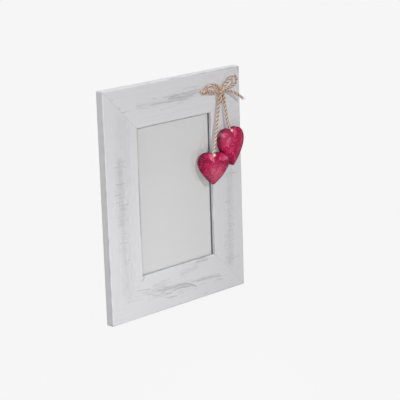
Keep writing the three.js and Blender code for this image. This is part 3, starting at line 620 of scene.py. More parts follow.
# %% Strokes on the rails
rub_strokes = {}
rub_strokes["top_rail"] = [
    (4.2, 0.46, [(6, 18.6), (-6, 18.9), (-20, 18.6), (-28, 17.2)]),
    (3.0, 0.3, [(46, 19.0), (26, 20.4), (8, 20.0)]),
    (0.7, 0.65, [(13, 16.2), (2.5, 16.6), (-8, 16.4), (-18, 15.8), (-34, 15.2)]),
    (0.7, 0.45, [(47, 18.3), (36, 19.5), (28, 20.2)]),
    (0.7, 0.65, [(28, 20.2), (10, 21.0), (-8, 21.5), (-17, 22.0)]),
    (0.7, 0.7, [(6.7, 18.4), (-3, 18.7), (-14.6, 19.8), (-24, 19.1), (-33, 17.4)]),
    (0.8, 0.4, [(42.2, 21.8), (31.9, 23.3)]),
    (0.7, 0.35, [(27.5, 15.0), (22.7, 15.5)]),
    (0.7, 0.35, [(17.7, 27.5), (14.1, 28.0)]),
    (0.7, 0.3, [(12.8, 26.5), (-1.0, 27.5)]),
    (0.7, 0.35, [(-3.7, 24.5), (-11.9, 24.5)]),
    (0.8, 0.35, [(80.8, 8.5), (74.8, 9.3)]),
    (0.9, 0.5, [(68.2, 17.7), (67.6, 18.6)]),
    (0.8, 0.35, [(64.8, 22.2), (58.6, 21.9)]),
    (0.6, 0.4, [(-24, 0.6), (-86, 0.6)]),
]
rub_strokes["bottom_rail"] = [
    (2.4, 0.46, [(-30, 21.0), (-16, 19.8), (0, 19.0), (12, 17.0)]),
    (0.9, 0.75, [(-8, 19.9), (-2, 20.8), (8, 19.5), (14.4, 17.0), (19.7, 13.7)]),
    (0.8, 0.6, [(-10.9, 16.4), (-2.3, 17.0), (10.7, 15.7), (16.6, 15.2)]),
    (0.8, 0.65, [(-29, 21.5), (-18, 19.8), (-5, 19.4)]),
    (0.7, 0.55, [(-22, 21.9), (-10.7, 20.8)]),
    (0.8, 0.65, [(-18.8, 15.3), (-13, 15.0)]),
    (0.7, 0.5, [(-37, 18.0), (-30, 16.8)]),
    (0.7, 0.3, [(-5.3, 14.2), (12, 13.4)]),
    (0.7, 0.3, [(-57, 32.1), (-52.3, 31.0)]),
    (0.7, 0.5, [(-55.2, 27.6), (-38.8, 25.0)]),
    (0.8, 0.5, [(-37.5, 23.0), (-26.3, 20.8)]),
    (0.7, 0.55, [(13.8, 19.4), (33, 19.2)]),
    (0.7, 0.6, [(22.6, 17.9), (37.4, 18.1), (53.9, 16.7)]),
    (1.4, 0.5, [(22, 37.6), (36.7, 37.2)]),
    (0.9, 0.3, [(-24.5, 29.4), (-14.6, 28.8)]),
    (0.8, 0.4, [(31.6, 3.4), (36.5, 3.0)]),
    (0.6, 0.8, [(-46.3, 38.6), (-49.3, 35.1)]),
    (4.0, 0.3, [(2, 30.0), (22, 33.0)]),
    (3.0, 0.3, [(-34, 27.5), (-20, 26.5)]),
]

# %% Strokes on the stiles
rub_strokes["left_stile"] = [
    (6.5, 0.42, [(-44, 16.8), (16, 17.0)]),
    (6.0, 0.34, [(16, 17.0), (60, 18.5)]),
    (14.0, 0.27, [(-80, 22.0), (80, 20.0)]),
    (0.6, 0.5, [(-34, 39.4), (-18, 39.3)]),
    (0.6, 0.9, [(-18, 39.3), (12, 39.2)]),
    (0.6, 0.6, [(12, 39.2), (31, 39.3)]),
]
rub_strokes["right_stile"] = [
    (6.0, 0.32, [(8, 16.5), (-60, 19.0), (-84, 18.0)]),
    (14.0, 0.16, [(80, 20.0), (-20, 20.0)]),
    (0.5, 0.5, [(71, 39.9), (-71, 39.9)]),
    (0.8, 0.9, [(110, 1.0), (104, 1.4)]),
]

# %% Bands of short strokes
streak_bands = {
    "top_rail": [
        (20, 3.0, 0.3, [(46, 19.5), (8, 19.8)]),
        (48, 2.8, 0.48, [(12, 19.4), (-34, 17.4)]),
        (16, 7.0, 0.2, [(66, 20.0), (-60, 20.0)]),
    ],
    "bottom_rail": [
        (40, 3.2, 0.58, [(-46, 22.0), (-20, 19.5), (6, 17.5)]),
        (32, 2.0, 0.52, [(8, 19.0), (32, 18.5), (56, 17.0)]),
        (10, 0.9, 0.3, [(14, 37.0), (36, 37.2)]),
        (26, 7.0, 0.3, [(-60, 24.0), (72, 15.0)]),
        (12, 2.4, 0.45, [(-70, 20.0), (-46, 23.0)]),
    ],
    "left_stile": [(20, 6.0, 0.16, [(-90, 18.0), (90, 20.0)])],
    "right_stile": [(20, 6.0, 0.16, [(90, 16.0), (-90, 18.0)])],
}
tick_bands = {
    "left_stile": [
        (30, 2.2, 0.8, [(-45, 16.8), (16, 17.0)]),
        (14, 2.6, 0.65, [(16, 17.5), (58, 20.5)]),
    ],
    "right_stile": [(40, 2.4, 0.6, [(9, 16.5), (-60, 19.0), (-84, 18.0)])],
}

# %% [markdown]
# A point takes the strongest stroke that reaches it, and a stroke fades like a bell curve across its line.
# The short strokes and the ripples of the grain come from seeded chance, so they are the same each time.

# %% From strokes to numbers


def strokes(along, inward, lines):
    """The strongest of the strokes at each point: strength * exp(-(distance / half width)^2)."""
    spot = np.stack([along, inward], axis=-1)
    level = np.zeros(along.shape)
    for half_width, strength, points in lines:
        for start, end in zip(np.array(points[:-1], float), np.array(points[1:], float)):
            way = end - start
            share = np.clip((spot - start) @ way / (way @ way), 0, 1)
            distance = np.linalg.norm(spot - start - share[..., None] * way, axis=-1)
            level = np.maximum(level, strength * np.exp(-((distance / half_width) ** 2)))
    return level


def strewn(bands, reach, across, chance):
    """Short strokes strewn along bands.

    Reach is the least and the most half length, and across turns the strokes by 90 degrees.
    """
    made = []
    for count, spread, strength, line in bands:
        line = np.array(line, float)
        at = (np.arange(count) + chance.uniform(0.1, 0.9, count)) * (len(line) - 1) / count
        middle = np.stack([np.interp(at, np.arange(len(line)), line[:, k]) for k in (0, 1)], axis=1)
        middle[:, 1] += chance.normal(0, spread, count)
        slant = chance.normal(0, 0.04, count)
        way = np.stack([np.ones(count), slant], axis=1) * chance.uniform(*reach, (count, 1))
        way = way[:, ::-1] if across else way
        half_width = chance.uniform(0.4, 0.7, count)
        level = strength * chance.uniform(0.3, 1.0, count)
        made += [(w, s, [m - v, m + v]) for w, s, m, v in zip(half_width, level, middle, way)]
    return made


def ripples(along, across, seed, long_wave, short_wave, waves=18):
    """Low waves along the grain, mostly from -1 to 1: the mean of cosines with seeded lengths and starts."""
    chance = np.random.default_rng(seed)
    slow = chance.normal(0, 1 / long_wave, waves)
    quick = chance.uniform(0.25, 1.0, waves) / short_wave
    start = chance.uniform(0, 2 * np.pi, waves)
    phase = 2 * np.pi * (along[..., None] * slow + across[..., None] * quick) + start
    return np.cos(phase).mean(-1) * 2


# %% [markdown]
# Now each moulding is made: its grid, the low relief of its face, and the numbers that the whitewash reads.
# The paint laps a little over the back edge, and the rest of the back is bare wood.

# %% Mouldings
STEP_ALONG = 0.55
MITRE_SHUT, MITRE_OPEN, MITRE_RUN = 0.01, 0.2, 4.0
GRAIN_SINK, GRAIN_RIPPLE, DENT_DEPTH, DENT_LEVEL = 0.05, 0.04, 0.2, 0.75
STREAK_REACH, TICK_REACH = (1.5, 8.0), (2.5, 6.5)
rail_place = {
    "bottom_rail": (FRAME_WIDTH, lambda a, p: (a, p)),
    "top_rail": (FRAME_WIDTH, lambda a, p: (-a, FRAME_HEIGHT - p)),
    "left_stile": (FRAME_HEIGHT, lambda a, p: (p - FRAME_WIDTH / 2, FRAME_HEIGHT / 2 - a)),
    "right_stile": (FRAME_HEIGHT, lambda a, p: (FRAME_WIDTH / 2 - p, FRAME_HEIGHT / 2 + a)),
}


def rail_grid(length):
    """Along, inward and depth of a moulding's points, as arrays of (steps, points of the section).

    Along is a share from -1 to 1 of half the length less the way in, because the ends are mitred.
    """
    inward, depth = section[:, 0], section[:, 1]
    open_ends = np.exp(-((MOULDING_WIDTH - inward) / MITRE_RUN) ** 2) + np.exp(-((inward / MITRE_RUN) ** 2))
    share = np.linspace(-1, 1, int(length / STEP_ALONG))
    along = share[:, None] * (length / 2 - inward - MITRE_SHUT - MITRE_OPEN * open_ends)
    return along, np.broadcast_to(inward, along.shape), np.broadcast_to(depth, along.shape)


def edge_share(inward, depth):
    """1 on the face's edges, falling as exp(-distance^2), and less down the sides."""
    from_edge = np.minimum(inward, MOULDING_WIDTH - inward)
    return np.exp(-(from_edge**2)) * np.clip(1.2 - depth / 3, 0, 1)


def rail_wear(name, seed, length, along, inward, depth):
    """How hard each point was rubbed along the grain, and across it: strokes, edges, sides and mitres; the
    window's inner sides and the relief behind the lips are darkened the same way as painted shade.
    """
    chance = np.random.default_rng(20 + seed)
    streaks = rub_strokes[name] + strewn(streak_bands[name], STREAK_REACH, False, chance)
    sawn = strewn(tick_bands.get(name, []), TICK_REACH, True, chance)
    on_front = np.clip(1 - depth / 2.5, 0, 1)
    rubbed = strokes(along, inward, streaks) * on_front
    rubbed += edge_share(inward, depth) * (0.2 + 0.35 * ripples(along, inward, 80 + seed, 25.0, 9.0))
    # The outer sides get light wear streaks; the window's inner sides are darkened more, as painted shade.
    side_wear_and_shade = 0.12 * (inward < 1) + 0.45 * (inward > MOULDING_WIDTH - 0.1)
    rubbed += np.clip(depth - 0.6, 0, 1) * side_wear_and_shade
    # Painted shade: the relief behind the lip and the rebate take the full rubbed grey, a dark line beside
    # the glass.
    rubbed += np.clip(depth - LIP_THICKNESS + LIP_RELIEF, 0, 1) * (inward > rebate_edge - 0.1)
    from_mitre = (length / 2 - inward - np.abs(along)) / math.sqrt(2)
    mitre_line = 0.2 * on_front * np.exp(-((from_mitre / 0.5) ** 2))
    rubbed += mitre_line * (0.6 + ripples(inward, along, 60 + seed, 5.0, 5.0))
    return np.clip(rubbed, 0, 1), strokes(along, inward, sawn) * on_front


for seed, (name, (length, place)) in enumerate(rail_place.items()):
    along, inward, depth = rail_grid(length)
    on_face = np.clip(1.6 - depth / EDGE_ROUND, 0, 1)
    sunk = on_face * (GRAIN_SINK + GRAIN_RIPPLE * ripples(along, inward, seed, 60.0, 1.6))
    dents = np.clip(ripples(along, 0 * inward, 40 + seed, 11.0, 1.0) - DENT_LEVEL, 0, None)
    sunk = depth + sunk + DENT_DEPTH * dents * edge_share(inward, depth)
    x, z = place(along, inward)
    rail = skin(f"{name}_whitewashed", [leaned(np.stack([x, sunk, z], axis=-1))])
    wear_and_shade, saw = rail_wear(name, seed, length, along, inward, depth)
    brushed_over = 1.2 + 0.6 * ripples(along, 0 * inward, 70 + seed, 14.0, 1.0)
    unpainted = np.clip((inward - brushed_over) / 0.5, 0, 1) * (depth > FRAME_THICKNESS - 0.05)
    write_attribute(rail, "grain", np.stack([along + 500 * seed, inward, depth], axis=-1).reshape(-1, 3))
    write_attribute(rail, "wear_and_shade", wear_and_shade.ravel())
    write_attribute(rail, "saw", saw.ravel())
    write_attribute(rail, "bare", unpainted.ravel())
    dress(rail, whitewash, "frame", name)
    print(name, "faces:", len(rail.data.polygons))

# %% [markdown]
# ## Jute
#
# Jute is a stiff, dull bast fibre. The twine is tan with fine fibres along it, and the hanging cords are
# bleached paler towards the hearts. Its colour also holds painted shade: dark brown in the groove between
# the plies, while the crown of each ply keeps the twine's own colour. It scatters light at grazing angles,
# so it has a little sheen.

# %% Material: jute twine
FIBRE_RUN, FIBRE_GAUGE = 5.0, 0.22
jute, tree, shader = new_material(
    "jute_twine", Roughness=0.95, Sheen_Weight=0.25, Sheen_Roughness=0.5, Specular_IOR_Level=0.2,
)
fibre_space = scaled(tree, attribute(tree, "fibre", "Vector"), (1 / FIBRE_RUN, 1 / FIBRE_GAUGE, 1.0))
strands = noise(tree, fibre_space, 1.0, 3.0, 0.6)
tan = mixed(tree, strands, "#a7866f", "#f0d4c1")
bleached = mixed(tree, strands, "#bd9f8b", "#f4e0d6")
pale = mixed(tree, attribute(tree, "bleach"), tan, bleached)
# Painted shade: the groove between the plies is coloured dark brown.
crown = ranged(tree, attribute(tree, "groove"), 0.57, 0.89, soft=True)
feed(
    tree, shader,
    Base_Color=mixed(tree, crown, "#5a3c30", pale),
    Normal=relief(tree, strands, 0.6, 0.00015),
)
for name in [*twine_lines, "bow_knot_wraps", "knot_bight_twine", "tail_knot_wraps", "right_tail_fray"]:
    pieces[name].data.materials.append(jute)
print("jute nodes:", len(tree.nodes))

# %% [markdown]
# ## Painted hearts
#
# The hearts are soft wood, cut with a knife and stained raspberry, with a little whitewash wiped over.
# The eye sees a deep red that turns pink where the knife left a high place, and pale specks in the pores.
# The carving gives each point a tone from 0 to 1, which also carries painted light and shade: facets and
# notch sides turned to the light are paler, those turned away, the rim and the back darker. Small pale
# spots on the lobe tops are painted highlights. Noise of the size of the pores and of the blotches in the
# stain moves the tone up and down.

# %% Material: raspberry stain
BLOTCH_SIZE, PORE_SIZE = 6.0, 1.4
raspberry, tree, shader = new_material(
    "raspberry_stained_wood", Roughness=0.45, Specular_IOR_Level=0.15, Coat_Weight=0.04, Coat_Roughness=0.25,
)
place_mm = millimetres(tree)
pores = noise(tree, place_mm, PORE_SIZE, 3.0, 0.65)
tone = swayed(tree, attribute(tree, "tone"), noise(tree, place_mm, BLOTCH_SIZE, 3.0, 0.65), 0.5)
tone = swayed(tree, tone, pores, 0.9)
stain = mixed(tree, ranged(tree, tone, 0.0, 0.5), "#5e001f", "#b8124e")
stain = mixed(tree, ranged(tree, tone, 0.5, 1.0), stain, "#e08ba5")
# Pale pink spots: the broad ones are wiped whitewash, the small strong ones on the lobe tops painted
# highlights.
stain = mixed(tree, maths(tree, "MULTIPLY", attribute(tree, "wash_and_highlight"), pores), stain, "#e0a3b6")
specks = ranged(tree, pores, 0.58, 0.73, high=0.4, soft=True)
heart_colour = mixed(tree, specks, stain, "#dfa0b2")
feed(
    tree, shader,
    # The pale cream where the heart's bare number is high is a painted glint round the cord's entry.
    Base_Color=mixed(tree, attribute(tree, "bare"), heart_colour, "#f3ded2"),
    Normal=relief(tree, pores, 0.3, 0.0002),
)
print("raspberry nodes:", len(tree.nodes))

# %% [markdown]
# ## Carving the hearts
#
# A heart's outline is four Bezier curves: a lobe and a flank on each side. Its face is a dome: going from
# the middle to the outline, the height falls like a superellipse. A knife leaves flat cuts, so planes that
# touch the dome at chosen spots, and lie a little deeper, take away what is above them. The lowest plane
# wins, with a soft step to the next. A V-shaped notch runs down from the cleft. Cutting a subdivided block
# in Sculpt mode would give the same look, but not twice.

# %% Heart surface
HEART_THICKNESS, HEART_EDGE, HEART_FULLNESS = 12.0, 3.6, 2.2
HEART_CROWN, HEART_SHOULDER, LOBE_RISE = 0.4, 0.24, 2.6
LOBE_PINCH, FLANK_FULL, TIP_PINCH, TIP_FULL, TIP_ROUND = 0.12, 0.36, 0.32, 0.86, 1.0
NOTCH_LENGTH, NOTCH_FLOOR, NOTCH_ANGLE = 7.0, 2.1, math.radians(142)
CURVE_POINTS, FACE_RINGS, KEENNESS, RIDGE_KEENNESS, RIM_KEENNESS = 48, 56, 14.0, 4.0, 14
# Painted shade: the rim's tone is lowered, more on the left than on the right, and the back takes a dark
# tone.
KNIFE_RIPPLE, NOTCH_BLEND, RIDGE_WEAR, PAINTED_RIM_SHADE, PAINTED_BACK_SHADE = 0.06, 0.3, 0.3, (0.3, 0.1), 0.05
BULGE, SLOPE_STEP = (HEART_THICKNESS - HEART_EDGE) / 2, 0.1


def heart_outline(width, height):
    """Points round the heart, from the cleft at 0, 0: four cubic Bezier curves as one array."""
    half, tip = width / 2, LOBE_RISE - height
    shoulder = HEART_SHOULDER * tip
    crest = (LOBE_RISE - 0.1 * shoulder) / 0.75
    flank = shoulder + FLANK_FULL * (tip - shoulder)
    lobe = np.array([[0, 0], [LOBE_PINCH * half, crest], [half, crest], [half, shoulder]])
    side = np.array([[half, shoulder], [half, flank], [TIP_PINCH * half, TIP_FULL * tip], [0, tip]])
    mirror = np.array([-1, 1])
    curves = np.stack([lobe, side, side[::-1] * mirror, lobe[::-1] * mirror])
    t = np.linspace(0, 1, CURVE_POINTS, endpoint=False)
    weights = np.stack([(1 - t) ** 3, 3 * t * (1 - t) ** 2, 3 * t**2 * (1 - t), t**3], axis=1)
    return np.einsum("nk,ckd->cnd", weights, curves).reshape(-1, 2)


def dome(spots, middle, outline):
    """Height of the uncut face: half the edge plus a superellipse of the share of the way out."""
    spoke = outline - middle
    spoke_angle = np.arctan2(spoke[:, 1], spoke[:, 0])
    order = np.argsort(spoke_angle)
    offset = spots - middle
    angle = np.arctan2(offset[:, 1], offset[:, 0])
    reach = np.interp(angle, spoke_angle[order], np.linalg.norm(spoke, axis=1)[order], period=2 * np.pi)
    share = np.clip(np.linalg.norm(offset, axis=1) / reach, 0, 1)
    return HEART_EDGE / 2 + BULGE * (1 - share**HEART_FULLNESS) ** (1 / HEART_FULLNESS)


def heart(width, height, cuts, facet_stain_and_light, notch_light_and_shade, seed):
    """Rings of a carved heart in its own plane, as x, out and z from the cleft, and each point's tone.

    Height of the front: the soft minimum of planes that touch the dome at the cuts, each sunk by its
    depth, and never above the dome; then the notch, floor + |x| / tan(half its angle), where it is lower.
    The tone is that of the lowest plane, paler on the ridges between planes, where the stain wore off. The
    notch's two sides take their own tones, one lit and one shaded, as painted light and shade; the rim is
    darkened as painted shade, more on the left, and so is the back.
    """
    outline, tip = heart_outline(width, height + TIP_ROUND), LOBE_RISE - height
    outline[:, 1] = tip - TIP_ROUND + np.hypot(outline[:, 1] - tip + TIP_ROUND, TIP_ROUND)
    middle = np.array([0, HEART_CROWN * tip])
    turn = np.linspace(np.pi / 2, 0.02, FACE_RINGS)[:, None]
    share = np.sin(turn) ** (2 / HEART_FULLNESS)
    flat = middle + share[..., None] * (outline - middle)
    x, z = flat[..., 0], flat[..., 1]
    domed = HEART_EDGE / 2 + BULGE * np.cos(turn) ** (2 / HEART_FULLNESS) + 0 * x
    spots = cuts[:, :2] * [width / 2, tip]
    steps = SLOPE_STEP * np.eye(2)
    rise = [dome(spots + s, middle, outline) - dome(spots - s, middle, outline) for s in steps]
    slopes = np.array(rise) / (2 * SLOPE_STEP)
    planes = dome(spots, middle, outline) - cuts[:, 2]
    planes = planes + (x[..., None] - spots[:, 0]) * slopes[0] + (z[..., None] - spots[:, 1]) * slopes[1]
    above = planes - planes.min(-1, keepdims=True)
    weight = np.exp(-KEENNESS * above)
    weight /= weight.sum(-1, keepdims=True)
    ridge = 1 - 1 / np.exp(-RIDGE_KEENNESS * above).sum(-1)
    rim = share**RIM_KEENNESS
    face = rim * domed + (1 - rim) * np.minimum((weight * planes).sum(-1), domed)
    face += KNIFE_RIPPLE * (1 - rim) * ripples(x, z, seed, 14.0, 1.2)
    floor_line = NOTCH_FLOOR - (HEART_THICKNESS / 2 - NOTCH_FLOOR) * z / NOTCH_LENGTH
    notch = np.maximum(floor_line + np.abs(x) / math.tan(NOTCH_ANGLE / 2), HEART_EDGE / 2)
    in_notch = np.clip((face - notch) / NOTCH_BLEND + NOTCH_BLEND, 0, 1)
    face = np.minimum(face, notch)
    tone = (weight * facet_stain_and_light).sum(-1) + RIDGE_WEAR * ridge
    # Painted light and shade: the notch's sides take a lit and a shaded tone, and the rim is darkened.
    tone = tone + in_notch * (np.where(x < 0, *notch_light_and_shade) - tone) - np.where(x < 0, *PAINTED_RIM_SHADE) * rim
    rings = np.concatenate([np.stack([x, -domed, z], axis=-1)[::-1], np.stack([x, face, z], axis=-1)])
    # The back's dark tone is painted shade.
    return rings, np.concatenate([(PAINTED_BACK_SHADE + 0 * x)[::-1], tone])


# %% [markdown]
# Each cut has its place, as shares of half the width and of the way from the cleft to the tip, and its
# depth in millimetres. The two hearts share the places, moved a little by chance, as a carver's hand
# would, and each has its own tones: its own stain, and painted light and shade for the way its facets and
# notch face the light as it hangs.

# %% Hearts
CUTS = np.array([
    [-0.76, 0.19, 0.75], [-0.5, 0.01, 0.55], [0.55, 0.0, 0.55], [0.81, 0.2, 0.6], [-0.33, 0.3, 0.15],
    [0.33, 0.29, 0.15], [0.0, 0.46, 0.1], [-0.62, 0.46, 0.35], [0.62, 0.46, 0.35], [-0.3, 0.7, 0.3],
    [0.3, 0.7, 0.3], [0.0, 0.9, 0.4],
])
# The tones per cut and the notch's two tones hold stain and painted light and shade: facets that face the
# light are paler, those turned away darker.
hearts = {
    "left_heart": {
        "size": (30.4, 31.0), "turn": -27.0, "tilt": -3.0, "at": LEFT_CORD[-2], "lower": 0.8, "seed": 3,
        "facet_stain_and_light": [0.1, 0.4, 0.5, 0.3, 0.2, 0.2, 0.26, 0.14, 0.3, 0.16, 0.28, 0.2], "notch": (0.72, 0.22),
        # Spots as x, z, radius and strength: broad ones are whitewash, small strong ones painted highlights.
        "wash_and_highlight": [(3, -18, 9, 0.4), (5, -12, 5, 0.3), (12.5, -2.4, 1.8, 0.9), (-0.5, -13.5, 2.4, 0.6)],
    },
    "right_heart": {
        "size": (32.0, 37.0), "turn": 0.0, "tilt": 1.5, "at": RIGHT_CORD[-2], "lower": 0.0, "seed": 4,
        "facet_stain_and_light": [0.4, 0.46, 0.3, 0.38, 0.36, 0.3, 0.29, 0.38, 0.36, 0.34, 0.34, 0.38], "notch": (0.3, 0.62),
        "wash_and_highlight": [(-12.6, -2.2, 2.2, 0.95), (-8.0, -8.2, 2.6, 0.6), (-10, -6, 7, 0.15)],
    },
}
CUT_WANDER, CORD_GLINT_REACH = 0.025, 2.4


def rotated(a, b, angle):
    """Two coordinates turned by an angle in their plane."""
    return a * math.cos(angle) - b * math.sin(angle), a * math.sin(angle) + b * math.cos(angle)


for name, made_as in hearts.items():
    wander = np.random.default_rng(made_as["seed"]).normal(0, CUT_WANDER, CUTS.shape) * [1, 1, 0]
    rings, tone = heart(*made_as["size"], CUTS + wander, made_as["facet_stain_and_light"], made_as["notch"], made_as["seed"])
    x, out, z = np.moveaxis(rings, -1, 0)
    x, z = rotated(x, z, math.radians(made_as["tilt"]))
    x, out = rotated(x, out, -math.radians(made_as["turn"]))
    placed = np.stack([x, out, z], axis=-1)
    carved = skin(f"{name}_carved", [on_bow(placed + made_as["at"] - [0, 0, made_as["lower"]])])
    flat = rings[..., [0, 2]]
    # Broad spots are whitewash, small strong ones on the lobe tops painted highlights.
    wash_and_highlight_spots = [
        strength * np.exp(-(((flat - [u, v]) ** 2).sum(-1) / radius**2))
        for u, v, radius, strength in made_as["wash_and_highlight"]
    ]
    write_attribute(carved, "wash_and_highlight", np.max(wash_and_highlight_spots, axis=0).ravel())
    write_attribute(carved, "tone", np.clip(tone, 0, 1).ravel())
    # Painted glint: a pale cream spot round the cord's entry at the cleft.
    from_cord = np.linalg.norm(placed - [0, 1, 0], axis=-1)
    write_attribute(carved, "bare", np.clip(CORD_GLINT_REACH - from_cord, 0, 1).ravel())
    dress(carved, raspberry, name, name)
    print(name, "faces:", len(carved.data.polygons))

# %% [markdown]
# ## Glass and card
#
# The pane is plain float glass. Light has to reach the card behind it without waiting for caustics, so the
# camera alone sees glass, and for every other ray the pane is clear. The card is uncoated paper: a flat
# pale grey with the faint cloud of its fibres. Its margins, which lie under the stiles' lips, carry painted
# shade: they are coloured dark grey, and from the side they show through the glass as a thin dark line along
# the lip.

# %% Materials: glass and card
GLASS_TINT = colour("#fbfbfb")
glass, tree, shader = new_material(
    "float_glass", Roughness=0.02, IOR=1.5, Transmission_Weight=1.0, Base_Color=GLASS_TINT,
)
clear = add(tree, "ShaderNodeBsdfTransparent", {"Color": GLASS_TINT}).outputs[0]
camera_ray = add(tree, "ShaderNodeLightPath").outputs["Is Camera Ray"]
either = add(tree, "ShaderNodeMixShader", {0: camera_ray, 1: clear, 2: shader.outputs[0]}).outputs[0]
tree.links.new(either, tree.nodes["Material Output"].inputs["Surface"])

CLOUD_SIZE, SIGHT_EDGE, MARGIN_BLEND = 6.0, FRAME_WIDTH / 2 - MOULDING_WIDTH, 0.5
card, tree, shader = new_material("uncoated_card", Roughness=0.8)
place_mm = millimetres(tree)
paper_colour = mixed(tree, noise(tree, place_mm, CLOUD_SIZE, 4.0, 0.6), "#dedede", "#e2e2e2")
across = maths(tree, "ABSOLUTE", add(tree, "ShaderNodeSeparateXYZ", {0: place_mm}).outputs["X"])
# Painted shade: the card's margins under the lips are coloured dark grey.
painted_margin_shade = ranged(tree, across, SIGHT_EDGE - MARGIN_BLEND, SIGHT_EDGE, high=0.85)
feed(tree, shader, Base_Color=mixed(tree, painted_margin_shade, paper_colour, "#303030"))

for name, finish in {"glass_pane": glass, "photo_card": card}.items():
    nodes[name].data.materials.clear()
    nodes[name].data.materials.append(finish)
print("pane and card dressed")

# %% [markdown]
# ## Hardboard
#
# The backing board and the strut are hardboard: wood fibre pressed into a smooth brown sheet. The eye
# sees a dull brown with short darker fibres lying every way.

# %% Material: hardboard
FLECK_SIZE, PATCH_SIZE = 1.1, 25.0
hardboard, tree, shader = new_material("pressed_hardboard", Roughness=0.72)
place_mm = millimetres(tree)
flecks = noise(tree, place_mm, FLECK_SIZE, 4.0, 0.7, distortion=1.5)
board_colour = mixed(tree, flecks, "#5e4229", "#a07a50")
board_colour = mixed(tree, noise(tree, place_mm, PATCH_SIZE, 2.0), board_colour, "#8b6641")
feed(tree, shader, Base_Color=board_colour, Normal=relief(tree, flecks, 0.25, 0.0001))
print("hardboard nodes:", len(tree.nodes))

# %% [markdown]
# ## Zinc-plated steel
#
# The hinge, rivets, turn buttons, screws and V-nails are pressed or headed from zinc-plated steel: a
# bright, slightly blue grey, with the soft blotches of the plating.

# %% Material: zinc-plated steel
SPANGLE_SIZE = 2.5
zinc, tree, shader = new_material("zinc_plated_steel", Metallic=1.0)
spangle = noise(tree, millimetres(tree), SPANGLE_SIZE, 3.0, 0.6)
feed(
    tree, shader,
    Base_Color=mixed(tree, spangle, "#a9acb1", "#cfd2d4"),
    Roughness=ranged(tree, spangle, 0.0, 1.0, 0.28, 0.5),
)
print("zinc nodes:", len(tree.nodes))

# %% [markdown]
# ## Softened copies of the hardware
#
# The model's solids have sharp edges, which catch no light. Each one at the back is copied, its loose
# triangles are merged, and a narrow bevel rounds the edges. The copy stands for the solid.

# %% Board, strut, hinge, buttons, screws and nails
NAIL_PROUD, NAIL_BACK = 0.05, FRAME_THICKNESS - 1
MERGE_DISTANCE, FLAT_ANGLE, SHARP_ANGLE = 1e-6, math.radians(1), math.radians(40)


def softened(name, width_mm):
    """A merged copy of a solid with a two-step bevel of that width on its sharp edges."""
    mesh = nodes[name].data.copy()
    loose = bmesh.new()
    loose.from_mesh(mesh)
    bmesh.ops.remove_doubles(loose, verts=loose.verts, dist=MERGE_DISTANCE)
    bmesh.ops.dissolve_limit(loose, angle_limit=FLAT_ANGLE, verts=loose.verts, edges=loose.edges)
    loose.to_mesh(mesh)
    loose.free()
    mesh.materials.clear()
    if name.startswith("v_nail"):
        points = np.empty(3 * len(mesh.vertices))
        mesh.vertices.foreach_get("co", points)
        upright = (points.reshape(-1, 3) * 1000 - lean_shift) @ lean_turn
        depth = upright[:, 1]
        upright[:, 1] = np.where(depth > NAIL_BACK, FRAME_THICKNESS + NAIL_PROUD, depth)
        mesh.vertices.foreach_set("co", leaned(upright).ravel())
    made = new_object(f"{name}_soft", mesh)
    bevel = made.modifiers.new("soft edges", "BEVEL")
    bevel.width = width_mm / 1000
    bevel.segments = 2
    bevel.limit_method = "ANGLE"
    bevel.angle_limit = SHARP_ANGLE
    bevel.harden_normals = False
    return made


corners = ["top_left", "top_right", "bottom_left", "bottom_right"]
back_pieces = {
    "backing_board": (hardboard, "hardboard", "frame", 0.3),
    "strut_leg": (hardboard, "hardboard", "strut", 0.4),
}
for name in ["hinge_fixed_leaf", "hinge_pin", "fixed_leaf_rivet_left", "fixed_leaf_rivet_right"]:
    back_pieces[name] = (zinc, "steel", "frame", 0.12)
for name in ["hinge_moving_leaf", "moving_leaf_rivet_left", "moving_leaf_rivet_right"]:
    back_pieces[name] = (zinc, "steel", "strut", 0.12)
for corner in corners:
    back_pieces[f"turn_button_{corner}"] = (zinc, "steel", f"{corner}_button", 0.15)
    back_pieces[f"button_screw_{corner}"] = (zinc, "steel", "frame", 0.1)
    back_pieces[f"v_nail_{corner}"] = (zinc, "steel", "frame", 0.05)
for name, (finish, slot, body, width) in back_pieces.items():
    dress(softened(name, width), finish, body, name)
print("softened pieces:", len(back_pieces))

# %% [markdown]
# ## Floor and light
#
# The photograph is a plain studio shot: a pale ground with no horizon. The floor answers the camera and
# mirrors mostly with its own pale value, and near the frame it keeps a faint share of its real lit surface,
# so that the shadow stays on it. A small key light above the front draws the hearts' shadows. A softer one
# stands on the camera's side, where its own shadows hide behind what casts them, and keeps the key's
# shadows light. A wide lamp overhead, a little behind the frame, lights the top edge without lighting the
# face. One lamp at the left lights the side, and a low one, as a white card at the foot would, lifts the
# bottom rail. The two fills in front are hidden from mirrors, so the pane shows no lamp.

# %% Stage
GROUND, FLOOR_GLOW, NEAR, FAR, NEAR_SHARE = 0.922, 1.0, 0.3, 0.9, 0.9
FLOOR_REACH, FLOOR_DROP, SKY_STRENGTH = 6.0, 0.0005, 0.12
WHITE = (1, 1, 1, 1)


def seen_ray(tree):
    """1 for rays from the camera, off mirrors or through glass, and 0 for the light that falls on things."""
    path = add(tree, "ShaderNodeLightPath").outputs
    seen = maths(tree, "MAXIMUM", path["Is Camera Ray"], path["Is Glossy Ray"])
    return maths(tree, "MAXIMUM", seen, path["Is Transmission Ray"])


floor_mesh = bpy.data.meshes.new("floor")
floor_corners = np.array([[-1, -1, 0], [1, -1, 0], [1, 1, 0], [-1, 1, 0]]) * FLOOR_REACH - [0, 0, FLOOR_DROP]
floor_mesh.from_pydata(floor_corners.tolist(), [], [[0, 1, 2, 3]])
floor = new_object("floor", floor_mesh)

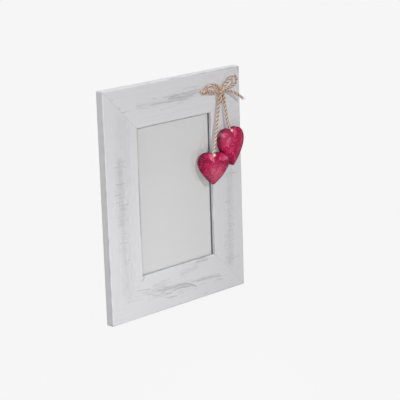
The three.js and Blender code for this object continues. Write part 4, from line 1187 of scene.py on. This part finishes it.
ground_paper, tree, shader = new_material("pale_ground", Roughness=0.9, Base_Color=colour("#6e6e6e"))
away = add(tree, "ShaderNodeVectorMath", {0: object_place(tree)}, operation="LENGTH").outputs["Value"]
share = ranged(tree, away, NEAR, FAR, NEAR_SHARE, 1.0, soft=True)
strength = ranged(tree, away, NEAR, FAR, FLOOR_GLOW, GROUND, soft=True)
seen = maths(tree, "MULTIPLY", seen_ray(tree), share)
glow = add(tree, "ShaderNodeEmission", {"Color": WHITE, "Strength": strength}).outputs[0]
either = add(tree, "ShaderNodeMixShader", {0: seen, 1: shader.outputs[0], 2: glow}).outputs[0]
tree.links.new(either, tree.nodes["Material Output"].inputs["Surface"])
floor_mesh.materials.append(ground_paper)

world = bpy.data.worlds.new("studio")
world.use_nodes = True
tree = world.node_tree
sky = tree.nodes["Background"]
sky.inputs["Color"].default_value = WHITE
sky.inputs["Strength"].default_value = SKY_STRENGTH
backdrop = add(tree, "ShaderNodeBackground", {"Color": WHITE, "Strength": GROUND}).outputs[0]
either = add(tree, "ShaderNodeMixShader", {0: seen_ray(tree), 1: sky.outputs[0], 2: backdrop}).outputs[0]
tree.links.new(either, tree.nodes["World Output"].inputs["Surface"])
bpy.context.scene.world = world
print("floor and sky nodes:", len(ground_paper.node_tree.nodes), len(tree.nodes))

# %% [markdown]
# The lamps are square area lamps. A lamp shines along its own minus z, like a camera, so its z axis points
# from what it lights back to itself.

# %% Lamps


def soft_lamp(name, place, aim, size, watts):
    """A square area lamp at place, facing aim, with that side in metres; no camera sees the lamp itself."""
    lamp = new_object(name, bpy.data.lights.new(name, "AREA"))
    lamp.data.size = size
    lamp.data.energy = watts
    lamp.visible_camera = False
    back = unit(np.array(place) - np.array(aim))
    right = unit(np.cross([0, 0, 1.0], back))
    matrix = np.eye(4)
    matrix[:3, :3] = np.stack([right, np.cross(back, right), back], axis=1)
    matrix[:3, 3] = place
    lamp.matrix_world = Matrix(matrix.tolist())
    return lamp


middle = [0, 0, 0.11]
soft_lamp("key_above_front", [-0.35, -2.48, 1.66], middle, 0.4, 25.0)
soft_lamp("overhead", [0, 1.1, 3.3], middle, 2.2, 82.0)
soft_lamp("left_fill", [-1.4, -0.26, 0.2], middle, 0.6, 4.6)
side_fill = soft_lamp("lens_side_fill", [-1.9, -2.1, 1.2], middle, 0.7, 36.3)
side_fill.visible_glossy = False
low_fill = soft_lamp("foot_fill", [-0.08, -0.22, 0.08], [-0.06, 0, 0], 0.07, 0.1)
low_fill.visible_glossy = False

# %% [markdown]
# ## Finish
#
# Colours are shown as they are written, so the view is the standard one.

# %% Finish
bpy.context.scene.view_settings.view_transform = "Standard"
